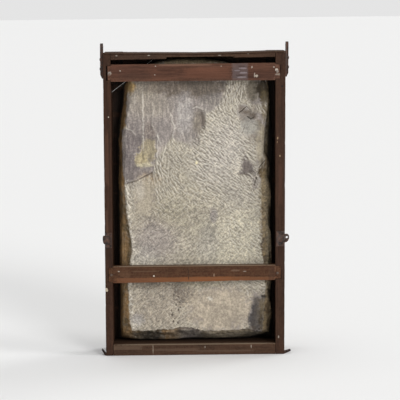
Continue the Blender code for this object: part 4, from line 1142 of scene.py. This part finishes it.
# %% Grain and spot groups
def grain_group():
    """Streaks along the slow axis of a scaled vector, with fine pores and slow clouds."""
    tree, given, out = group("grain", {"Vector": None, "Bend": 0.3}, ("Streaks", "Pores", "Clouds"))
    streaks = noise_node(tree, given["Vector"], 1.0, 6.0, 0.65, given["Bend"])
    put(tree, out["Streaks"], fit(tree, streaks, 0.30, 0.70))
    for name, scale, low, high in (("Pores", 4.0, 0.54, 0.66), ("Clouds", 0.12, 0.35, 0.65)):
        scaled = node(tree, "ShaderNodeMapping", {"Vector": given["Vector"], "Scale": (scale,) * 3})
        put(tree, out[name], fit(tree, noise_node(tree, scaled.outputs[0], 1.0, 3.0), low, high))
    return tree


def spot_group():
    """A soft spot: 1 inside, 0 outside, with a ragged edge. Reach is its half size on each axis, and Square
    turns it from round into a rectangle."""
    tree, given, out = group("spot", {"Vector": None, "Centre": None, "Reach": None, "Ragged": 0.3,
                                      "Square": 0.0}, ("Mask",))
    offset = vector_math(tree, "SUBTRACT", given["Vector"], given["Centre"])
    share = vector_math(tree, "DIVIDE", offset, given["Reach"])
    parts = node(tree, "ShaderNodeSeparateXYZ", {"Vector": share})
    across, upward, inward = (math_node(tree, "ABSOLUTE", parts.outputs[axis]) for axis in "XZY")
    squared = math_node(tree, "MAXIMUM", math_node(tree, "MAXIMUM", across, upward), inward)
    shape = mix_values(tree, given["Square"], vector_math(tree, "LENGTH", share), squared)
    edge = noise_node(tree, given["Vector"], 230.0, 2.0)
    wander = times(tree, math_node(tree, "SUBTRACT", edge, 0.5), given["Ragged"])
    put(tree, out["Mask"], fit(tree, math_node(tree, "ADD", shape, wander), 1.12, 0.80))
    return tree


GRAIN = grain_group()
SPOT = spot_group()


# %% Wood
# Near black painted shade on the wood deep in the box round the slab
COLOUR_INNER_SHADE = (20, 14, 10)
GRAIN_ACROSS, GRAIN_ALONG = 230.0, 11.0     # the grain changes slowly along the board
WIDE_SPOT = 0.020
SPOT_DEPTH = 0.012          # how far a spot reaches in, so that it doesn't cross the board's side


def spotted(tree, place, colour, spots):
    """Lays spots over a colour. Wide ones are rectangles."""
    for *sizes, strength, tone in spots:
        x, z, half_width, half_height = metres(*sizes)
        square = float(max(half_width, half_height) > WIDE_SPOT)
        spot = use(tree, SPOT, Vector=place, Centre=(leaning(x, z), BACK, z),
                   Reach=(half_width, SPOT_DEPTH, half_height), Ragged=1.1 - 0.6 * square, Square=square)
        colour = mix_colour(tree, times(tree, spot["Mask"], strength), colour, srgb(*tone))
    return colour


def wood_finish(name, axis, dark, middle, worn, spots):
    finish, tree, shader = material(name, 0.62)
    shader["Specular IOR Level"].default_value = 0.18
    place = object_place(tree)
    scale = [GRAIN_ACROSS] * 3
    scale[axis] = GRAIN_ALONG
    drawn = node(tree, "ShaderNodeMapping", {"Vector": place, "Scale": scale}).outputs[0]
    grain = use(tree, GRAIN, Vector=drawn, Bend=0.4)
    grime = use(tree, MOTTLE, Vector=place, Coarse=22.0, Fine=170.0, Balance=0.4)
    colour = mix_colour(tree, grain["Streaks"], srgb(*dark), srgb(*middle))
    brighter = mix_colour(tree, 1.0, colour, (1.30, 1.24, 1.18, 1), "MULTIPLY")
    colour = mix_colour(tree, grain["Clouds"], colour, brighter)
    pores, shade = times(tree, grain["Pores"], 0.45), times(tree, grime["Mix"], 0.30)
    colour = mix_colour(tree, pores, colour, srgb(*(value * 0.5 for value in dark)))
    colour = mix_colour(tree, shade, colour, srgb(*(value * 0.55 for value in dark)))
    colour = spotted(tree, place, colour, spots)
    broken = times(tree, attribute(tree, "wear"), fit(tree, grime["Grit"], 0.38, 0.62))
    colour = mix_colour(tree, times(tree, broken, 0.55), colour, srgb(*worn))
    # Painted shade, near black, deep in the box round the slab.
    colour = mix_colour(tree, attribute(tree, "inner_shade"), colour, srgb(*COLOUR_INNER_SHADE))
    put(tree, shader["Base Color"], colour)
    put(tree, shader["Roughness"], fit(tree, grain["Streaks"], 0.0, 1.0, 0.72, 0.52))
    add_bump(tree, shader, grain["Streaks"], 0.4, 0.0006)
    return finish


# %% Spots on the boards
# Each is x, z, half width, half height, strength, colour, as seen from behind.
DUST = (196, 186, 172)
VIOLET = (98, 86, 86)
UPPER_SPOTS = (
    (135.5, 857, 24, 27, 0.62, VIOLET), (140, 873, 13, 2.4, 0.6, (52, 38, 36)),
    (144, 867, 11, 2.6, 0.3, (174, 164, 170)), (127, 860.5, 10, 2.2, 0.24, (164, 154, 158)),
    (145, 853.5, 11, 2.8, 0.3, (176, 166, 170)), (135, 846.5, 13, 2.4, 0.6, (52, 38, 36)),
    (141, 840.5, 14, 2.6, 0.32, (174, 164, 166)), (-220, 863, 1.8, 1.8, 0.8, DUST),
    (-115, 876, 1.7, 1.7, 0.7, DUST), (-117, 850, 1.6, 1.6, 0.5, DUST), (171, 870, 2.6, 3.6, 0.5, DUST),
    (184.5, 843.6, 3.8, 4.4, 0.6, (206, 194, 176)), (179, 847, 1.8, 7, 0.5, DUST),
    (244, 861, 4.5, 4.5, 0.85, (206, 198, 186)), (236, 870, 2.2, 2.2, 0.7, DUST),
    (250, 848, 10, 3, 0.35, DUST), (-252, 856, 6, 6, 0.35, DUST), (-30, 879, 80, 3, 0.35, (140, 110, 92)),
    (40, 854, 70, 16, 0.3, (122, 78, 58)), (-180, 844, 50, 12, 0.3, (60, 42, 34)),
    (80, 874, 1.6, 1.4, 0.5, DUST),
)
LOWER_SPOTS = (
    (0, 231, 230, 8, 0.5, (120, 76, 46)), (10, 230, 150, 11, 0.5, (126, 78, 46)),
    # The pale line along the lower batten's top edge is a painted highlight.
    (35, 232, 80, 9, 0.4, (134, 82, 48)), (0, 274.2, 245, 0.9, 0.55, (150, 134, 114)),
    (-180, 230, 60, 10, 0.45, (116, 74, 50)), (190, 229, 60, 10, 0.4, (114, 74, 50)),
    (-19.5, 250, 2.2, 20, 0.75, (44, 28, 20)), (-124, 245, 2.6, 2.6, 1, (214, 204, 188)),
    (121, 259, 14, 3, 0.3, (136, 116, 98)), (57.5, 246, 2.2, 5, 0.6, (150, 126, 106)),
    (150, 256, 5, 1.8, 0.35, DUST), (138, 228, 6, 1.8, 0.35, DUST),
    (-150, 259, 40, 2, 0.25, (124, 100, 80)), (-230, 260, 3, 2, 0.6, DUST),
    (232, 245, 10, 26, 0.35, (58, 38, 28)), (-210, 250, 18, 10, 0.25, (110, 80, 58)),
)
STILE_SPOTS = (
    (-256, 726, 1.6, 2.2, 0.75, (206, 196, 178)), (248, 658.5, 2.4, 4, 0.7, (168, 140, 110)),
    (247, 646.5, 1.8, 3, 0.6, (158, 130, 100)), (255, 604.5, 2, 3, 0.7, (176, 150, 118)),
    (253, 53, 2, 4, 0.6, DUST), (261, 813, 3.4, 3.4, 1, (16, 11, 8)),
    (-267, 203.5, 4, 6, 0.9, (200, 186, 164)), (-262, 600, 5, 80, 0.35, (98, 68, 52)),
    (256, 520, 6, 60, 0.35, (86, 56, 44)), (-264, 400, 4, 50, 0.3, (104, 76, 60)),
)
RAIL_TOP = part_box("bottom_rail")[1].z
RAIL_SPOTS = (
    # The pale line along the bottom rail's top edge is a painted highlight.
    (0, 1000 * RAIL_TOP - 1.1, 240, 1.1, 0.5, (150, 134, 114)),
    (-128, 19, 0.9, 17, 0.8, (170, 156, 138)), (-60, 17, 70, 4, 0.25, (120, 100, 84)),
    (90, 12, 90, 3, 0.25, (118, 98, 82)), (170, 25, 1.5, 6, 0.5, DUST),
    (-210, 24, 50, 6, 0.3, (124, 104, 86)), (30, 24, 1.2, 5, 0.5, DUST),
)
TOP_SPOTS = (
    (-135, 908, 4, 1.4, 0.6, DUST), (75, 906, 5, 1.2, 0.5, DUST), (160, 910, 3, 1.4, 0.6, DUST),
    (-230, 908, 3, 2, 0.4, DUST),
)

# %% Make the boards
WOOD_TONES = {              # wood: (axis of its grain, dark, middle, worn, spots)
    "stile": (2, (42, 25, 15), (60, 37, 24), (92, 66, 48), STILE_SPOTS),
    "rail": (0, (52, 34, 22), (73, 50, 36), (108, 84, 64), RAIL_SPOTS),
    "top": (0, (48, 31, 21), (66, 45, 32), (104, 80, 60), TOP_SPOTS),
    "batten_upper": (0, (66, 42, 31), (92, 60, 46), (122, 90, 70), UPPER_SPOTS),
    "batten_lower": (0, (55, 32, 18), (75, 46, 28), (110, 80, 56), LOWER_SPOTS),
}
WOODS = {wood: wood_finish(f"wood_{wood}", *tones) for wood, tones in WOOD_TONES.items()}
for board_name, wood in BOARDS.items():
    made_board = board(board_name, WOOD_TONES[wood][0], WOODS[wood])
    print(board_name, len(made_board.data.polygons), "faces")

# %% [markdown]
# ## Iron
# The straps, plates and tabs are hand-forged: soft edges, a hammered skin, brown rust. Nails and screws keep
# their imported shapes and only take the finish.

# %% Iron finish
def iron_finish(name, dark, rust, rust_low, rust_high):
    finish, tree, shader = material(name, 0.6, 0.35)
    mottle = use(tree, MOTTLE, Vector=object_place(tree), Coarse=120.0, Fine=700.0, Balance=0.45)
    rusty = fit(tree, mottle["Mix"], rust_low, rust_high)
    colour = mix_colour(tree, rusty, srgb(*dark), srgb(*rust))
    put(tree, shader["Base Color"], colour)
    put(tree, shader["Metallic"], fit(tree, rusty, 0.0, 1.0, 0.5, 0.05))
    put(tree, shader["Roughness"], fit(tree, rusty, 0.0, 1.0, 0.50, 0.85))
    add_bump(tree, shader, mottle["Grit"], 0.5, 0.0006)
    return finish


IRON = iron_finish("rusty_iron", (50, 42, 38), (82, 56, 44), 0.25, 0.75)
WORN_SCREW = iron_finish("worn_screw", (150, 142, 134), (96, 72, 58), 0.45, 0.85)
DULL_SCREW = iron_finish("dull_screw", (96, 84, 74), (78, 56, 44), 0.30, 0.80)
IRON_ARRIS, IRON_LONG_EDGE = 0.0007, 0.003
IRON_SPAN = 0.004           # longer edges are halved, so that the hammer's marks have corners to move
HAMMERED, HAMMER_BLOWS = 0.00018, 140       # how deep the hammer's marks go, and how many to a metre
FORGED = ("hanger_left", "hanger_right", "plate_left", "plate_right", "tab_left", "tab_right")


def forged(name):
    bm = merged_copy(name)
    soft_arrises(bm, IRON_ARRIS, IRON_LONG_EDGE)
    long_edges = [edge for edge in bm.edges if edge.calc_length() > IRON_SPAN]
    bmesh.ops.subdivide_edges(bm, edges=long_edges, cuts=1, use_grid_fill=True)
    bm.normal_update()
    for vert in bm.verts:
        vert.co -= vert.normal * HAMMERED * (1 + noise.noise(vert.co * HAMMER_BLOWS))
    return add_piece(f"{name}_iron", bm, IRON, [name])


for forged_name in FORGED:
    print(forged_name, len(forged(forged_name).data.polygons), "faces")
for packed_name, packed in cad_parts.items():
    if "nail" in packed_name or "screw" in packed_name:
        finish = IRON
        if "batten" in packed_name:
            finish = WORN_SCREW if "upper" in packed_name else DULL_SCREW
        packed.material_slots[0].material = finish

# %% [markdown]
# ## The wire
# A thin bright wire crosses the upper left corner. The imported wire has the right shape, so it only takes a
# finish: pale, smooth metal with a little tarnish.

# %% Wire
COLOUR_WIRE = (205, 205, 205)
COLOUR_TARNISH = (160, 155, 148)


def wire_finish():
    finish, tree, shader = material("bright_wire", 0.35, 0.8)
    tarnish = use(tree, MOTTLE, Vector=object_place(tree), Coarse=90.0, Fine=600.0, Balance=0.5)["Mix"]
    put(tree, shader["Base Color"], mix_colour(tree, tarnish, srgb(*COLOUR_WIRE), srgb(*COLOUR_TARNISH)))
    return finish


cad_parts["corner_wire"].material_slots[0].material = wire_finish()
